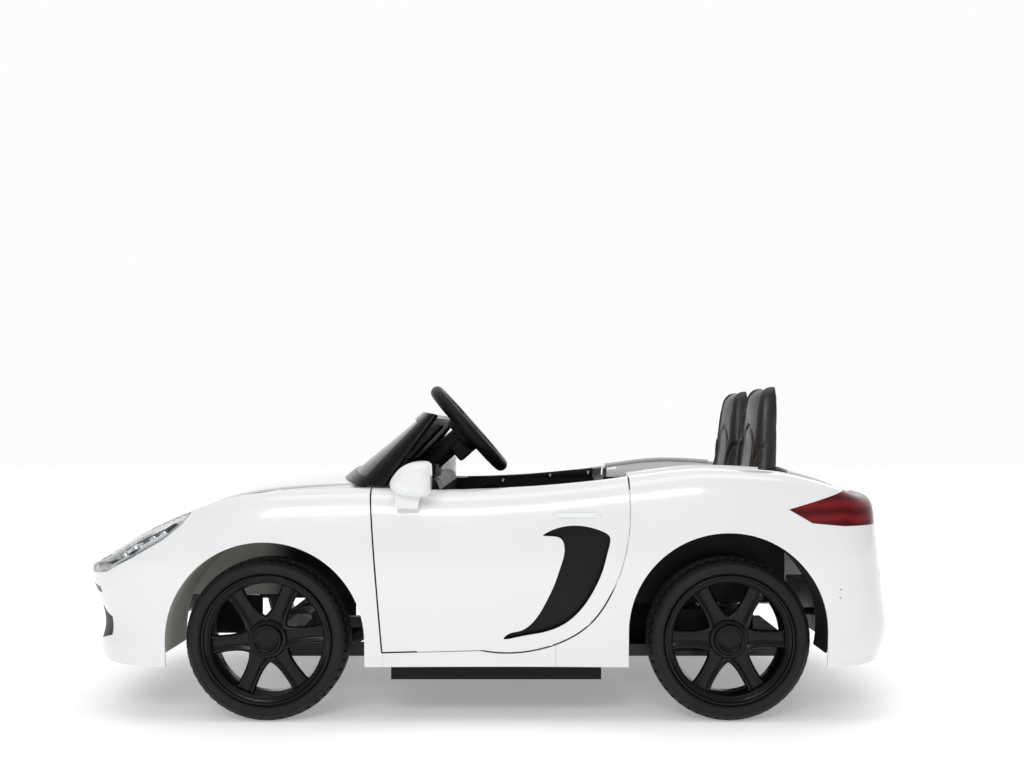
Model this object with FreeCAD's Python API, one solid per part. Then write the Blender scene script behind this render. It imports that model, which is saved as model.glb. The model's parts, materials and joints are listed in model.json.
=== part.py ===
"""Electric ride on car for two children: an open sports car body on 12 inch class tyres.

Millimetres. The car drives towards -X, its left side is -Y and +Z is up.
The origin is on the ground under the middle of the car.
"""
import FreeCAD
import Part
import math
import os

V = FreeCAD.Vector
X_AXIS = V(1, 0, 0)
Y_AXIS = V(0, 1, 0)
Z_AXIS = V(0, 0, 1)
LEFT = -1
RIGHT = 1

# Driving sizes of the body
nose_x = -785.0
tail_x = 785.0
front_turn_x = -520.0       # ahead of this station the body sections fan round the nose
rear_turn_x = 560.0         # behind it they fan round the tail
nose_squareness = 3.0
tail_squareness = 4.0
wall = 4.0                  # moulded panel thickness
shut_gap = 2.0              # visible gap round doors, bonnet and deck
panel_gap = 0.3             # hairline between panels that meet
belt_z = 300.0              # height of the widest line of the sides
sill_bottom_z = 103.0
offset_step = 9.0           # spacing of the points along a grown outline

# Height of the body along its middle and along the shoulders, and half width of the belt
middle_line = [(-785, 250), (-762, 268), (-700, 308), (-600, 366), (-489, 413), (-407, 431),
               (-315, 442), (-200, 450), (150, 452), (408, 474), (560, 468), (620, 452), (690, 424),
               (705, 416)]
shoulder_line = [(-785, 250), (-735, 282), (-640, 340), (-544, 386), (-436, 421), (-343, 430),
                 (-218, 432), (-78, 426), (68, 433), (214, 449), (288, 460), (408, 474), (539, 466),
                 (620, 448), (690, 421), (705, 414)]
belt_half_width = [(-520, 386), (-398, 394), (-205, 384), (50, 380), (265, 386), (453, 398), (560, 391)]

# Shape of one body section, as shares of the belt half width: lid seam, shoulder, then down to the sill
lid_seam_share = 0.78       # of the way to the shoulder
top_shares = (lid_seam_share, 0.88, 1.0)
shoulder_shares = {-1: 0.90, 0: 0.945, 1: 0.74}    # at the nose, along the sides, at the tail
upper_shares = {-1: 0.965, 0: 0.985, 1: 0.757}
upper_drop = 0.45           # share of the drop from shoulder to belt at the upper share
side_profile = [(1.0, belt_z), (1.0, 256), (0.998, 221), (0.995, 191), (0.992, 165), (0.988, 142),
                (0.984, 121), (0.981, sill_bottom_z)]
nose_profile = [(1.0, 247), (0.975, 226), (0.90, 205), (0.84, 180), (0.835, 156), (0.89, 131),
                (0.90, 114), (0.86, 100)]
tail_profile = [(0.775, 371), (0.82, 350), (0.88, 308), (0.935, 266), (0.985, 226), (1.0, 205),
                (0.95, 168), (0.85, 122)]
profiles = {-1: nose_profile, 0: side_profile, 1: tail_profile}

# Wheels
wheelbase_front_x = -398.0
wheelbase_rear_x = 453.0
tyre_radius = 150.0
tyre_width = 76.0
rim_radius = 117.0
wheel_face_y = 372.0
spokes = 6
hub_cap_radius = 29.0
axle_radius = 6.0
axle_recess = 14.0          # end of each axle inside the wheel's face
running_fit = 0.05
# Outline of the tyre's side: drop from the tread, set in from the face
tyre_sidewall = [(-29.5, 6.4), (-26, 1.6), (-21, 0.0), (-13, 0.4), (-7, 3.0), (-2.5, 8.5), (0, 16)]
flange_height = 4.3         # of the rim above its bed
flange_width = 6.0
barrel_wall = 8.0
spoke_low = 16.0            # spokes inside the tyre's face
spoke_high = 30.0
spoke_hub_width = 34.0
spoke_rim_width = 24.0
hub_radius = 32.0
hub_proud = 4.0
cap_lip = 8.0
cap_seat = 8.0
cap_wall = 5.0
cap_height = 8.0
liner_lead = 2.5            # wheel arch liner outside the arch edge
liner_wall = 3.0
liner_foot_z = 128.0
apron_y = 234.0
apron_foot_z = 216.0
rear_liner_y = 372.0
front_arch_radius = 182.0
rear_arch_radius = 181.0
rear_arch_x = 447.0
rear_arch_z = 168.0

# Doors
door_front_x = -207.0       # front edge at the top
door_foot_x = -183.0        # front edge at the sill
door_rear_x = 267.0
door_bottom_z = 131.0
door_sweep = [(-5, 135), (133, 146), (192, 181), (242, 259), (263, 335)]  # lower edge and rear corner
door_gap = 3.0
door_trim_y = 322.0         # inner end of the door's rolled top
door_trim_wall = 5.0
hinge_edge = 16.0           # hinge pin behind the door's front edge
hinge_inset = 10.5          # hinge pin inside the outer skin
hinge_pin_radius = 2.5
hinge_eye_radius = 4.6
hinge_knuckle = 14.0
hinge_heights = (222.0, 284.0)
door_pan_inset = 22.0       # inner panel of the door inside the door's edge
door_trim_top_z = 421.0
latch_place = (-30.0, 396.0)
latch_boss_radius = 7.0
vent_outline = [(111, 345), (124, 352), (216, 352), (231, 342), (229, 318), (219, 281), (201, 241),
                (177, 206), (155, 186), (131, 173), (104, 165), (70, 159), (38, 156), (46, 163),
                (68, 169), (84, 178), (98, 193), (118, 227), (131, 255), (141, 284), (149, 318),
                (146, 333), (134, 341)]
vent_depth = 22.0

# Door mirrors and the posts of the door hinges
mirror_x = -128.0
mirror_z = 446.0
mirror_face = 35.0
mirror_foot_z = 393.0
mirror_glass_wall = 3.0
# Side view of the pod, as shares of its half length and half height
mirror_outline = [(1.0, 0.0), (0.99, 0.55), (0.84, 0.9), (0.45, 1.0), (0.0, 0.93), (-0.48, 0.66), (-0.84, 0.2),
                  (-1.0, -0.3), (-0.78, -0.66), (-0.3, -0.86), (0.3, -0.94), (0.84, -0.78)]
mirror_rings = [(364.0, 22.0, 16.0), (374.0, 36.0, 30.0), (392.0, 40.0, 34.0), (412.0, 36.0, 30.0),
                (426.0, 20.0, 15.0)]
post_in_y = 292.0
post_depth = 18.0
ledge_z = 125.0

# Cabin
tub_half_width = 284.0
tub_floor_z = 108.0
tub_wall = 5.0
firewall_x = -214.0
firewall_top_z = 400.0
footwell_half = 225.0
seat_step_x = 250.0
seat_deck_z = 212.0
cabin_rear_x = 572.0
tub_side_top_z = 424.0
deck_front_x = 578.0
deck_seam_x = 520.0         # the deck's seam starts ahead of its front edge
lid_low_z = 230.0
ledge_out_y = 392.0
skid_span = (-169.0, 217.0)  # skid strip under each ledge
skid_in_y = 350.0
skid_out_y = 364.0
skid_foot_z = 78.0
tunnel_half = 30.0
tunnel_height = 45.0
pedal_y = -85.0
pedal_pivot_x = -120.0
pedal_pivot_z = 121.0
pedal_width = 56.0
pedal_length = 72.0
pedal_slope_deg = 30.0
pedal_pin_radius = 3.0
dash_front_x = -208.7
dash_rear_x = -85.0
dash_top_z = 444.0
dash_half = 286.0
hood_half = 88.0
shroud_length = 150.0
shroud_radius = 21.0
shroud_gap = 1.5
column_clear = 1.5
button_z = 384.0
button_radius = 11.0
button_proud = 7.0
power_y = 0.0
switch_y = 44.0
switch_half_y = 10.0
switch_half_z = 14.5

# Seats: stations along each cushion and up each back, with the draw-in of the side and the paddings' depths
seat_middle_y = 141.0
seat_width = 262.0
seat_seam_share = 0.62
seat_draw_in = 5.0
seat_crown = 5.0
channel_half = 4.0
channel_depth = 2.6
cushion_dish = 8.0
cushion_stations = [(255, 9, 34), (262, 3, 46), (280, 0, 52), (340, 0, 52), (400, 0, 51), (436, 1, 49),
                    (447, 4, 44)]
seat_back_rear_x = 563.0
back_stations = [(212.3, 4, 108, 104), (240, 1, 111, 106), (268, 0, 111, 104), (330, 0, 98, 86),
                 (400, 0, 78, 64), (469, 0, 59, 46), (540, 0, 51, 40), (590, 3, 45, 36), (615, 10, 38, 30),
                 (626, 22, 29, 23), (630, 34, 21, 16)]

# Chassis and drive
rail_y = 165.0
rail_size = 24.0
rail_z = tub_floor_z - rail_size / 2
rail_front_x = -430.0
rail_rear_x = 620.0
tray_wall = 3.0
bearing_half = 18.0
gearbox_in_y = 232.0
gearbox_out_y = 292.0
gearbox_ahead = 104.0
gearbox_below = 34.0
output_radius = 24.0
motor_radius = 24.0
motor_length = 70.0
motor_boss_radius = 9.0
battery_x = 264.0
battery_length = 140.0
battery_width = 220.0
battery_height = 86.0
terminal_y = 40.0
control_x = 500.0
control_length = 60.0
control_width = 110.0
control_height = 45.0

# Steering
steer_y = -141.0
steer_middle = V(-36.0, steer_y, 539.0)
steer_tilt_deg = 41.4       # column against the ground
steer_radius = 110.0
steer_grip_radius = 13.0
column_radius = 11.0
steer_range_deg = 35.0
knuckle_range_deg = 20.0
kingpin_y = 268.0
kingpin_radius = 7.0
steer_arm = 55.0
tie_rod_z = 196.0
tie_rod_radius = 6.0
link_slack = 3.0            # play of the crank and the pins in the steering links
link_pin_radius = 4.0
crank_ball_radius = 6.0
steer_hub_depth = 26.0
steer_hub_height = 34.0
steer_hub_radius = 40.0
steer_spoke_radius = 8.0
pad_radius = 30.0
pad_height = 12.0
pad_proud = 14.0
pad_travel = 3.0
link_play = 0.4
knuckle_half = 24.0
hub_inner_y = 300.0
beam_end_y = 248.0
beam_lug = 8.0

# Windscreen
screen_foot_x = -186.0
screen_foot_bow = 105.0
screen_foot_half = 334.0
screen_top_x = -88.0
screen_top_bow = 42.0
screen_top_half = 320.0
screen_top_z = 565.0
screen_roundness = 0.8
screen_sill_share = 0.12
screen_bar_share = 0.11
screen_window_share = 0.72
screen_frame_wall = 12.0
screen_pane_wall = 3.0
screen_over_door = 4.0      # room under the screen's feet for the door's swing

os.makedirs("parts", exist_ok=True)
parts = {}


# Small geometry helpers

def curve_value(points, x):
    """Smooth value at x of a line through hand-chosen points, without overshoot."""
    xs = [p[0] for p in points]
    ys = [p[1] for p in points]
    x = min(max(x, xs[0]), xs[-1])
    i = max(j for j in range(len(xs) - 1) if xs[j] <= x)
    slopes = [(ys[j + 1] - ys[j]) / (xs[j + 1] - xs[j]) for j in range(len(xs) - 1)]

    def tangent(j):
        if j == 0:
            return slopes[0]
        if j == len(xs) - 1:
            return slopes[-1]
        if slopes[j - 1] * slopes[j] <= 0:
            return 0.0
        return 2 * slopes[j - 1] * slopes[j] / (slopes[j - 1] + slopes[j])

    h = xs[i + 1] - xs[i]
    t = (x - xs[i]) / h
    a, b = tangent(i) * h, tangent(i + 1) * h
    return (ys[i] * (1 + 2 * t) * (1 - t) ** 2 + a * t * (1 - t) ** 2
            + ys[i + 1] * t * t * (3 - 2 * t) + b * t * t * (t - 1))


def mix(a, b, share):
    return a + (b - a) * share


def spread(first, last, count):
    return [mix(first, last, i / (count - 1)) for i in range(count)]


def box(x0, x1, y0, y1, z0, z1):
    low = V(min(x0, x1), min(y0, y1), min(z0, z1))
    return Part.makeBox(abs(x1 - x0), abs(y1 - y0), abs(z1 - z0), low)


def rod(start, end, radius):
    return Part.makeCylinder(radius, (end - start).Length, start, end - start)


def prism(outline, direction, at=V(0, 0, 0)):
    """Solid from a closed list of points, or a closed wire, pushed along a direction."""
    wire = outline if isinstance(outline, Part.Wire) else Part.makePolygon(outline + [outline[0]])
    face = Part.Face(wire)
    face.translate(at)
    return face.extrude(direction)


def side_prism(points_xz, y0, y1):
    return prism([V(x, y0, z) for x, z in points_xz], V(0, y1 - y0, 0))


def turned(profile, axis_point, axis):
    """Solid of revolution from a closed outline of points."""
    face = Part.Face(Part.makePolygon(profile + [profile[0]]))
    return face.revolve(axis_point, axis, 360)


def mirrored(shape):
    return shape.mirror(V(0, 0, 0), Y_AXIS)


def group(*shapes):
    return Part.makeCompound([s for shape in shapes for s in shape.Solids])


def both_sides(shape):
    return group(shape, mirrored(shape))


# The body surface

def fan(x, y):
    """End of the body that a point is on, its place on the fan there and its share of the way out."""
    if x < front_turn_x:
        reach, square = front_turn_x - nose_x, nose_squareness
        half = curve_value(belt_half_width, front_turn_x)
        along = front_turn_x - x
    elif x > rear_turn_x:
        reach, square, half = tail_x - rear_turn_x, tail_squareness, curve_value(belt_half_width, rear_turn_x)
        along = x - rear_turn_x
    else:
        return 0, 1.0, abs(y) / curve_value(belt_half_width, x)
    out = math.hypot(along, y)
    side_share = abs(y) / out if out else 0.0
    turn_radius = fan_radius(side_share, reach, half, square)
    return (-1 if x < front_turn_x else 1), side_share, out / turn_radius


def fan_radius(side_share, reach, half, square):
    ahead = math.sqrt(max(0.0, 1 - side_share ** 2))
    return ((ahead / reach) ** square + (side_share / half) ** square) ** (-1 / square)


def shoulder_place(end, side_share):
    """Share of the way out at which the top turns down into the side."""
    return mix(shoulder_shares[end], shoulder_shares[0], side_share ** 2)


def top_height(x, y):
    end, side_share, share = fan(x, y)
    q = share / shoulder_place(end, side_share)
    weight = side_share ** 3
    middle = curve_value(middle_line, x)
    shoulder = curve_value(shoulder_line, x)
    rounding = 0.16 * max(0.0, shoulder - belt_z) * weight * q ** 8
    return mix(middle, shoulder, q * q * weight) - rounding


def section(x=None, end=0, side_share=1.0):
    """Points of half a body section from the lid seam outwards and down: (x, half width, height)."""
    half_turn = curve_value(belt_half_width, front_turn_x if end < 0 else rear_turn_x)
    if end == 0:
        width, ahead, base_x = curve_value(belt_half_width, x), 0.0, x
    else:
        reach = (front_turn_x - nose_x) if end < 0 else (tail_x - rear_turn_x)
        square = nose_squareness if end < 0 else tail_squareness
        width = fan_radius(side_share, reach, half_turn, square)
        ahead = end * math.sqrt(max(0.0, 1 - side_share ** 2))
        base_x = front_turn_x if end < 0 else rear_turn_x
    place = shoulder_place(end, side_share)
    weight = side_share ** 2
    points = []
    for share in top_shares:
        out = share * place * width
        px, py = base_x + ahead * out, side_share * out
        points.append((px, py, top_height(px, py)))
    lower = [(mix(s_end, s_side, weight), mix(z_end, z_side, weight))
             for (s_end, z_end), (s_side, z_side) in zip(profiles[end], side_profile)]
    shoulder_z = points[-1][2]
    upper = (mix(upper_shares[end], upper_shares[0], weight), mix(shoulder_z, lower[0][1], upper_drop))
    for share, z in [upper] + lower:
        out = share * width
        points.append((base_x + ahead * out, side_share * out, z))
    return points


def side_rows(x0, x1, count):
    return [section(x) for x in spread(x0, x1, count)]


def end_rows(end, count):
    """Sections from the side of the car to its middle line, round one end."""
    return [section(end=end, side_share=math.cos(math.radians(a))) for a in spread(0, 90, count)]


def wrap_rows(x_side, end, side_count, end_count):
    """Sections from one flank, round the nose or the tail, to the other flank."""
    turn_x = front_turn_x if end < 0 else rear_turn_x
    half = side_rows(x_side, turn_x, side_count)[:-1] + end_rows(end, end_count)
    near = [[V(x, LEFT * y, z) for x, y, z in row] for row in half]
    far = [[V(x, RIGHT * y, z) for x, y, z in row] for row in half]
    return near + far[-2::-1]


def grid_normals(grid):
    rows, columns = len(grid), len(grid[0])
    normals = []
    for i in range(rows):
        line = []
        for j in range(columns):
            along = grid[min(i + 1, rows - 1)][j] - grid[max(i - 1, 0)][j]
            across = grid[i][min(j + 1, columns - 1)] - grid[i][max(j - 1, 0)]
            n = along.cross(across)
            n.normalize()
            line.append(n)
        normals.append(line)
    return normals


def shell_between(outer, inner):
    """Closed solid between two point grids of the same size."""
    surfaces = []
    for grid in (outer, inner):
        surface = Part.BSplineSurface()
        surface.interpolate(grid)
        surfaces.append(surface)
    faces = [s.toShape() for s in surfaces]
    u0, u1, v0, v1 = surfaces[0].bounds()
    w0, w1, t0, t1 = surfaces[1].bounds()
    pairs = [(surfaces[0].uIso(u0), surfaces[1].uIso(w0)), (surfaces[0].uIso(u1), surfaces[1].uIso(w1)),
             (surfaces[0].vIso(v0), surfaces[1].vIso(t0)), (surfaces[0].vIso(v1), surfaces[1].vIso(t1))]
    for a, b in pairs:
        faces.append(Part.makeRuledSurface(a.toShape(), b.toShape()))
    shell = Part.Shell(Part.makeCompound(faces).Faces)
    shell.sewShape()
    solid = Part.Solid(shell)
    if solid.isInside(V(0, 0, 9000), 0.01, False):
        solid.reverse()
    return solid


def panel(grid, thickness=wall, lift=0.0):
    """Moulded panel whose outer face is the grid, lifted off it, and whose thickness goes inwards."""
    normals = grid_normals(grid)
    inward = -1 if normals[len(grid) // 2][len(grid[0]) // 2].dot(outward_hint(grid)) > 0 else 1
    outer = [[p - n * (inward * lift) for p, n in zip(r, m)] for r, m in zip(grid, normals)]
    inner = [[p + n * (inward * thickness) for p, n in zip(r, m)] for r, m in zip(outer, normals)]
    return shell_between(outer, inner)


def between(grid, inset, shift):
    """Block from a surface set inside a panel's outer face to the same face shifted away."""
    normals = grid_normals(grid)
    inward = -1 if normals[len(grid) // 2][len(grid[0]) // 2].dot(outward_hint(grid)) > 0 else 1
    inner = [[p + n * (inward * inset) for p, n in zip(r, m)] for r, m in zip(grid, normals)]
    return shell_between([[p + shift for p in row] for row in grid], inner)


def outward_hint(grid):
    """Direction from inside the car to the middle of a grid."""
    p = grid[len(grid) // 2][len(grid[0]) // 2]
    inside = V(min(max(p.x, front_turn_x), rear_turn_x), 0, belt_z - 80)
    return p - inside


# Outlines that several panels share

def spline_edge(points):
    curve = Part.BSplineCurve()
    curve.interpolate(points)
    return curve.toShape()


def plain_wire(wire):
    """The same closed wire with its bent edges as curves through points: offset curves don't export."""
    runs = []
    for edge in wire.OrderedEdges:
        straight = edge.Curve.TypeId == "Part::GeomLine"
        points = edge.discretize(2 if straight else max(4, round(edge.Length / offset_step)))
        runs.append(points[::-1] if edge.Orientation == "Reversed" else points)
    for i, points in enumerate(runs):
        points[-1] = runs[(i + 1) % len(runs)][0]
    return Part.Wire([spline_edge(p) if len(p) > 2 else Part.makeLine(p[0], p[1]) for p in runs])


def side_wire(points_xz, closed_curve=True):
    """Closed smooth wire in the plane of the car's side."""
    curve = Part.BSplineCurve()
    curve.interpolate([V(x, 0, z) for x, z in points_xz], PeriodicFlag=closed_curve)
    return Part.Wire([curve.toShape()])


def through_side(wire, side, y0, y1, grow=0.0):
    """Block over one side of the car with a side-view outline, grown by a gap."""
    face = Part.Face(wire)
    if grow:
        face = Part.Face(plain_wire(face.makeOffset2D(grow).OuterWire))
    face.translate(V(0, side * y0, 0))
    return face.extrude(V(0, side * (y1 - y0), 0))


def door_wire():
    over = 560.0
    lean = (door_front_x - door_foot_x) / (430.0 - door_bottom_z)
    foot = V(door_foot_x, 0, door_bottom_z)
    top_front = V(door_foot_x + lean * (over - door_bottom_z), 0, over)
    top_rear = V(door_rear_x, 0, over)
    corner = V(door_rear_x, 0, 400.0)
    first = V(door_sweep[0][0], 0, door_sweep[0][1])
    sweep = [V(x, 0, z) for x, z in door_sweep] + [corner]
    edges = [Part.makeLine(top_front, foot), Part.makeLine(foot, first), spline_edge(sweep),
             Part.makeLine(corner, top_rear), Part.makeLine(top_rear, top_front)]
    return Part.Wire(edges)


def door_block(side, grow=0.0):
    return through_side(door_wire(), side, 200.0, 460.0, grow)


def arch_block(x, z, radius):
    """Wheel arch opening through both sides, open below."""
    reach = 460.0
    round_top = Part.makeCylinder(radius, 2 * reach, V(x, -reach, z), Y_AXIS)
    return round_top.fuse(box(x - radius, x + radius, -reach, reach, 0, z))


def lid_outline(x_open, end, gap):
    """Seam round a lid at the nose or the tail: points at one share of the way to the shoulder."""
    half = []
    for x in spread(x_open, front_turn_x if end < 0 else rear_turn_x, 7)[:-1]:
        half.append((x, lid_seam_share * shoulder_shares[0] * curve_value(belt_half_width, x) - gap))
    for row in end_rows(end, 9):
        x, y, _ = row[0]
        lift = math.hypot(x - (front_turn_x if end < 0 else rear_turn_x), y)
        turn = front_turn_x if end < 0 else rear_turn_x
        half.append((turn + (x - turn) * (lift - gap) / lift, y * (lift - gap) / lift))
    points = [V(x, -y, 0) for x, y in half] + [V(x, y, 0) for x, y in half[-2::-1]]
    return Part.Wire([spline_edge(points), Part.makeLine(points[-1], points[0])])


def lid_grid(x_open, x_end, rows, columns):
    half = 330.0
    across = spread(-half, half, columns)
    return [[V(x, y, top_height(x, y)) for y in across] for x in spread(x_open, x_end, rows)]


def lid(x_open, x_end, end, rows, columns):
    """Top panel between the seams at one end of the car."""
    grid = lid_grid(x_open, x_end, rows, columns)
    return panel(grid).common(prism(lid_outline(min(x_open, deck_seam_x), end, shut_gap / 2), V(0, 0, 700)))


def lid_opening(x_open, end):
    """Room that the panels round a lid leave for it."""
    return prism(lid_outline(x_open, end, -shut_gap / 2), V(0, 0, 500), V(0, 0, lid_low_z))


# Body panels

front_grid = wrap_rows(door_foot_x, -1, 12, 15)
bonnet_span = (door_front_x - 4, -742.0)
rear_grid = wrap_rows(door_sweep[1][0], 1, 14, 15)
door_rows = side_rows(door_front_x - 12, door_rear_x + 8, 16)
left_side_grid = [[V(x, LEFT * y, z) for x, y, z in row] for row in door_rows]
right_side_grid = [[V(p.x, -p.y, p.z) for p in row] for row in left_side_grid]
side_grids = {LEFT: left_side_grid, RIGHT: right_side_grid}
front_arch = arch_block(wheelbase_front_x, tyre_radius, front_arch_radius)
rear_arch = arch_block(rear_arch_x, rear_arch_z, rear_arch_radius)


def lamp_block(outline_xz, outline_xy, side, inset=0.0):
    """Corner of the body that a lamp takes up: a side-view outline and a plan outline."""
    low = Part.Face(Part.makePolygon([V(x, 0, z) for x, z in outline_xz + outline_xz[:1]]))
    plan = Part.Face(Part.makePolygon([V(x, side * y, 0) for x, y in outline_xy + outline_xy[:1]]))
    if inset:
        low = low.makeOffset2D(-inset)
        plan = plan.makeOffset2D(-inset)
    return low.extrude(V(0, side * 500, 0)).common(plan.extrude(V(0, 0, 700)))


head_side = [(-768, 262), (-700, 273), (-640, 303), (-584, 335), (-552, 362), (-536, 388), (-560, 440),
             (-768, 330)]
head_plan = [(-768, 160), (-700, 195), (-620, 252), (-530, 318), (-536, 420), (-768, 420)]
tail_side = [(557, 391), (600, 366), (660, 360), (735, 360), (735, 432), (690, 430)]
tail_plan = [(555, 500), (555, 280), (660, 265), (690, 170), (740, 170), (740, 500)]
lamp_gap = 0.6
lens_wall = 3.0
lamp_depth = 26.0
mouth_outline = [(-246, 150), (-214, 199), (-120, 211), (120, 211), (214, 199), (246, 150), (226, 133),
                 (-226, 133)]
mouth_floor_x = -694.0
mouth_rim = 9.0
diffuser_outline = [(-252, 184), (252, 184), (222, 112), (-222, 112)]
exhaust_y = 168.0
exhaust_z = 158.0
exhaust_radius = 21.0
exhaust_wall = 3.0
diffuser_fins = (-205.0, -90.0, -30.0, 30.0, 90.0, 205.0)
fin_wall = 5.0
diffuser_x = 700.0
diffuser_depth = 44.0
socket_z = 146.0            # charging socket in the middle of the diffuser
socket_radius = 4.0
socket_depth = 26.0


def end_block(outline_yz, x0, x1, grow=0.0):
    """Block through the nose or the tail with a front-view outline."""
    face = Part.Face(Part.makePolygon([V(x0, y, z) for y, z in outline_yz + outline_yz[:1]]))
    if grow:
        face = face.makeOffset2D(grow)
    return face.extrude(V(x1 - x0, 0, 0))


doors_open = [door_block(LEFT, door_gap), door_block(RIGHT, door_gap)]
mouth = end_block(mouth_outline, -820, -640)
head_openings = [lamp_block(head_side, head_plan, side) for side in (LEFT, RIGHT)]
tail_openings = [lamp_block(tail_side, tail_plan, side) for side in (LEFT, RIGHT)]
diffuser_opening = end_block(diffuser_outline, 640, 820)


def front_body():
    cuts = [front_arch, mouth, lid_opening(bonnet_span[0], -1)] + doors_open + head_openings
    parts["front_fascia"] = panel(front_grid).cut(cuts)
    parts["bonnet"] = lid(*bonnet_span, -1, 13, 11)
    tray = end_block(mouth_outline, nose_x, mouth_floor_x, mouth_rim)
    tray = tray.cut(end_block(mouth_outline, nose_x, mouth_floor_x - wall, mouth_rim - wall))
    nose_rows = [row for row in front_grid if row[0].x < mouth_floor_x + 60 or abs(row[0].y) < 250]
    parts["front_grille"] = tray.cut(between(nose_rows, wall + panel_gap, V(-90, 0, 0)))


def headlamps():
    """Clear lens flush with the body on each side, with a cup behind it."""
    bonnet_room = lid_opening(bonnet_span[0], -1)
    lenses = []
    cups = []
    for side in (LEFT, RIGHT):
        rows = [row[:7] for row in front_grid if row[0].x < head_side[-3][0] + 60 and side * row[0].y > 60]
        inset_block = lamp_block(head_side, head_plan, side, lamp_gap)
        pocket_block = lamp_block(head_side, head_plan, side, lamp_gap + lens_wall)
        lenses.append(panel(rows, lens_wall).common(inset_block).cut(bonnet_room))
        inward = V(0.6, -0.6 * side, -0.53)
        cup = between(rows, lens_wall + panel_gap, inward * lamp_depth).common(inset_block)
        cup = cup.cut(between(rows, -1.0, inward * (lamp_depth - lens_wall)).common(pocket_block))
        cups.append(cup.cut(bonnet_room))
    parts["headlamp_lenses"] = group(*lenses)
    parts["headlamp_cups"] = group(*cups)


def rear_body():
    deck_room = lid_opening(deck_seam_x, 1)
    cuts = [rear_arch, diffuser_opening, deck_room] + doors_open + tail_openings
    parts["rear_fascia"] = panel(rear_grid).cut(cuts)
    parts["rear_deck"] = lid(deck_front_x, 703, 1, 8, 11)
    lens = panel(rear_grid, lamp_depth / 2).cut(deck_room)
    lamp_cuts = [lamp_block(tail_side, tail_plan, side, lamp_gap) for side in (LEFT, RIGHT)]
    parts["tail_lamps"] = group(*[lens.common(cut) for cut in lamp_cuts])
    tail_rows = [row for row in rear_grid if abs(row[0].y) < 230 and row[0].x > rear_turn_x]
    tray = end_block(diffuser_outline, diffuser_x, diffuser_x + diffuser_depth, mouth_rim)
    tray = tray.cut(end_block(diffuser_outline, diffuser_x + wall, tail_x, mouth_rim - wall))
    diffuser = tray.cut(between(tail_rows, wall + panel_gap, V(90, 0, 0)))
    low = diffuser_outline[2][1]
    high = diffuser_outline[0][1] - shut_gap
    fin_outline = [(diffuser_x + 1, low), (tail_x - 38, low), (tail_x - 6, exhaust_z), (tail_x - 4, high),
                   (diffuser_x + 1, high)]
    for y in diffuser_fins:
        diffuser = diffuser.fuse(side_prism(fin_outline, y - fin_wall / 2, y + fin_wall / 2))
    for side in (LEFT, RIGHT):
        start = V(diffuser_x, side * exhaust_y, exhaust_z)
        end = V(tail_x - 4, side * exhaust_y, exhaust_z)
        diffuser = diffuser.fuse(rod(start, end, exhaust_radius))
        diffuser = diffuser.cut(rod(start + V(wall, 0, 0), end, exhaust_radius - exhaust_wall))
    socket = V(diffuser_x, 0, socket_z)
    diffuser = diffuser.fuse(rod(socket - V(socket_depth, 0, 0), socket + V(wall, 0, 0), 2 * socket_radius))
    diffuser = diffuser.cut(rod(socket - V(socket_depth, 0, 0), socket + V(wall, 0, 0), socket_radius))
    parts["rear_diffuser"] = diffuser.cut(parts["rear_fascia"])


def sills():
    """Strip of body side under each door."""
    grid = [[V(x, LEFT * y, z) for x, y, z in row]
            for row in side_rows(door_foot_x + panel_gap, door_sweep[1][0] - panel_gap, 10)]
    strip = panel(grid).cut(door_block(LEFT, door_gap))
    parts["side_sills"] = both_sides(strip)



# Doors, with the hinge line along the front edge

edge_lean = (door_front_x - door_foot_x) / (430.0 - door_bottom_z)


def hinge_point(side, z):
    """Point of the hinge axis at a height: behind the door's front edge, inside its skin."""
    x = door_foot_x + edge_lean * (z - door_bottom_z) + hinge_edge
    return V(x, side * (curve_value(belt_half_width, door_front_x) - hinge_inset), z)


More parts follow.
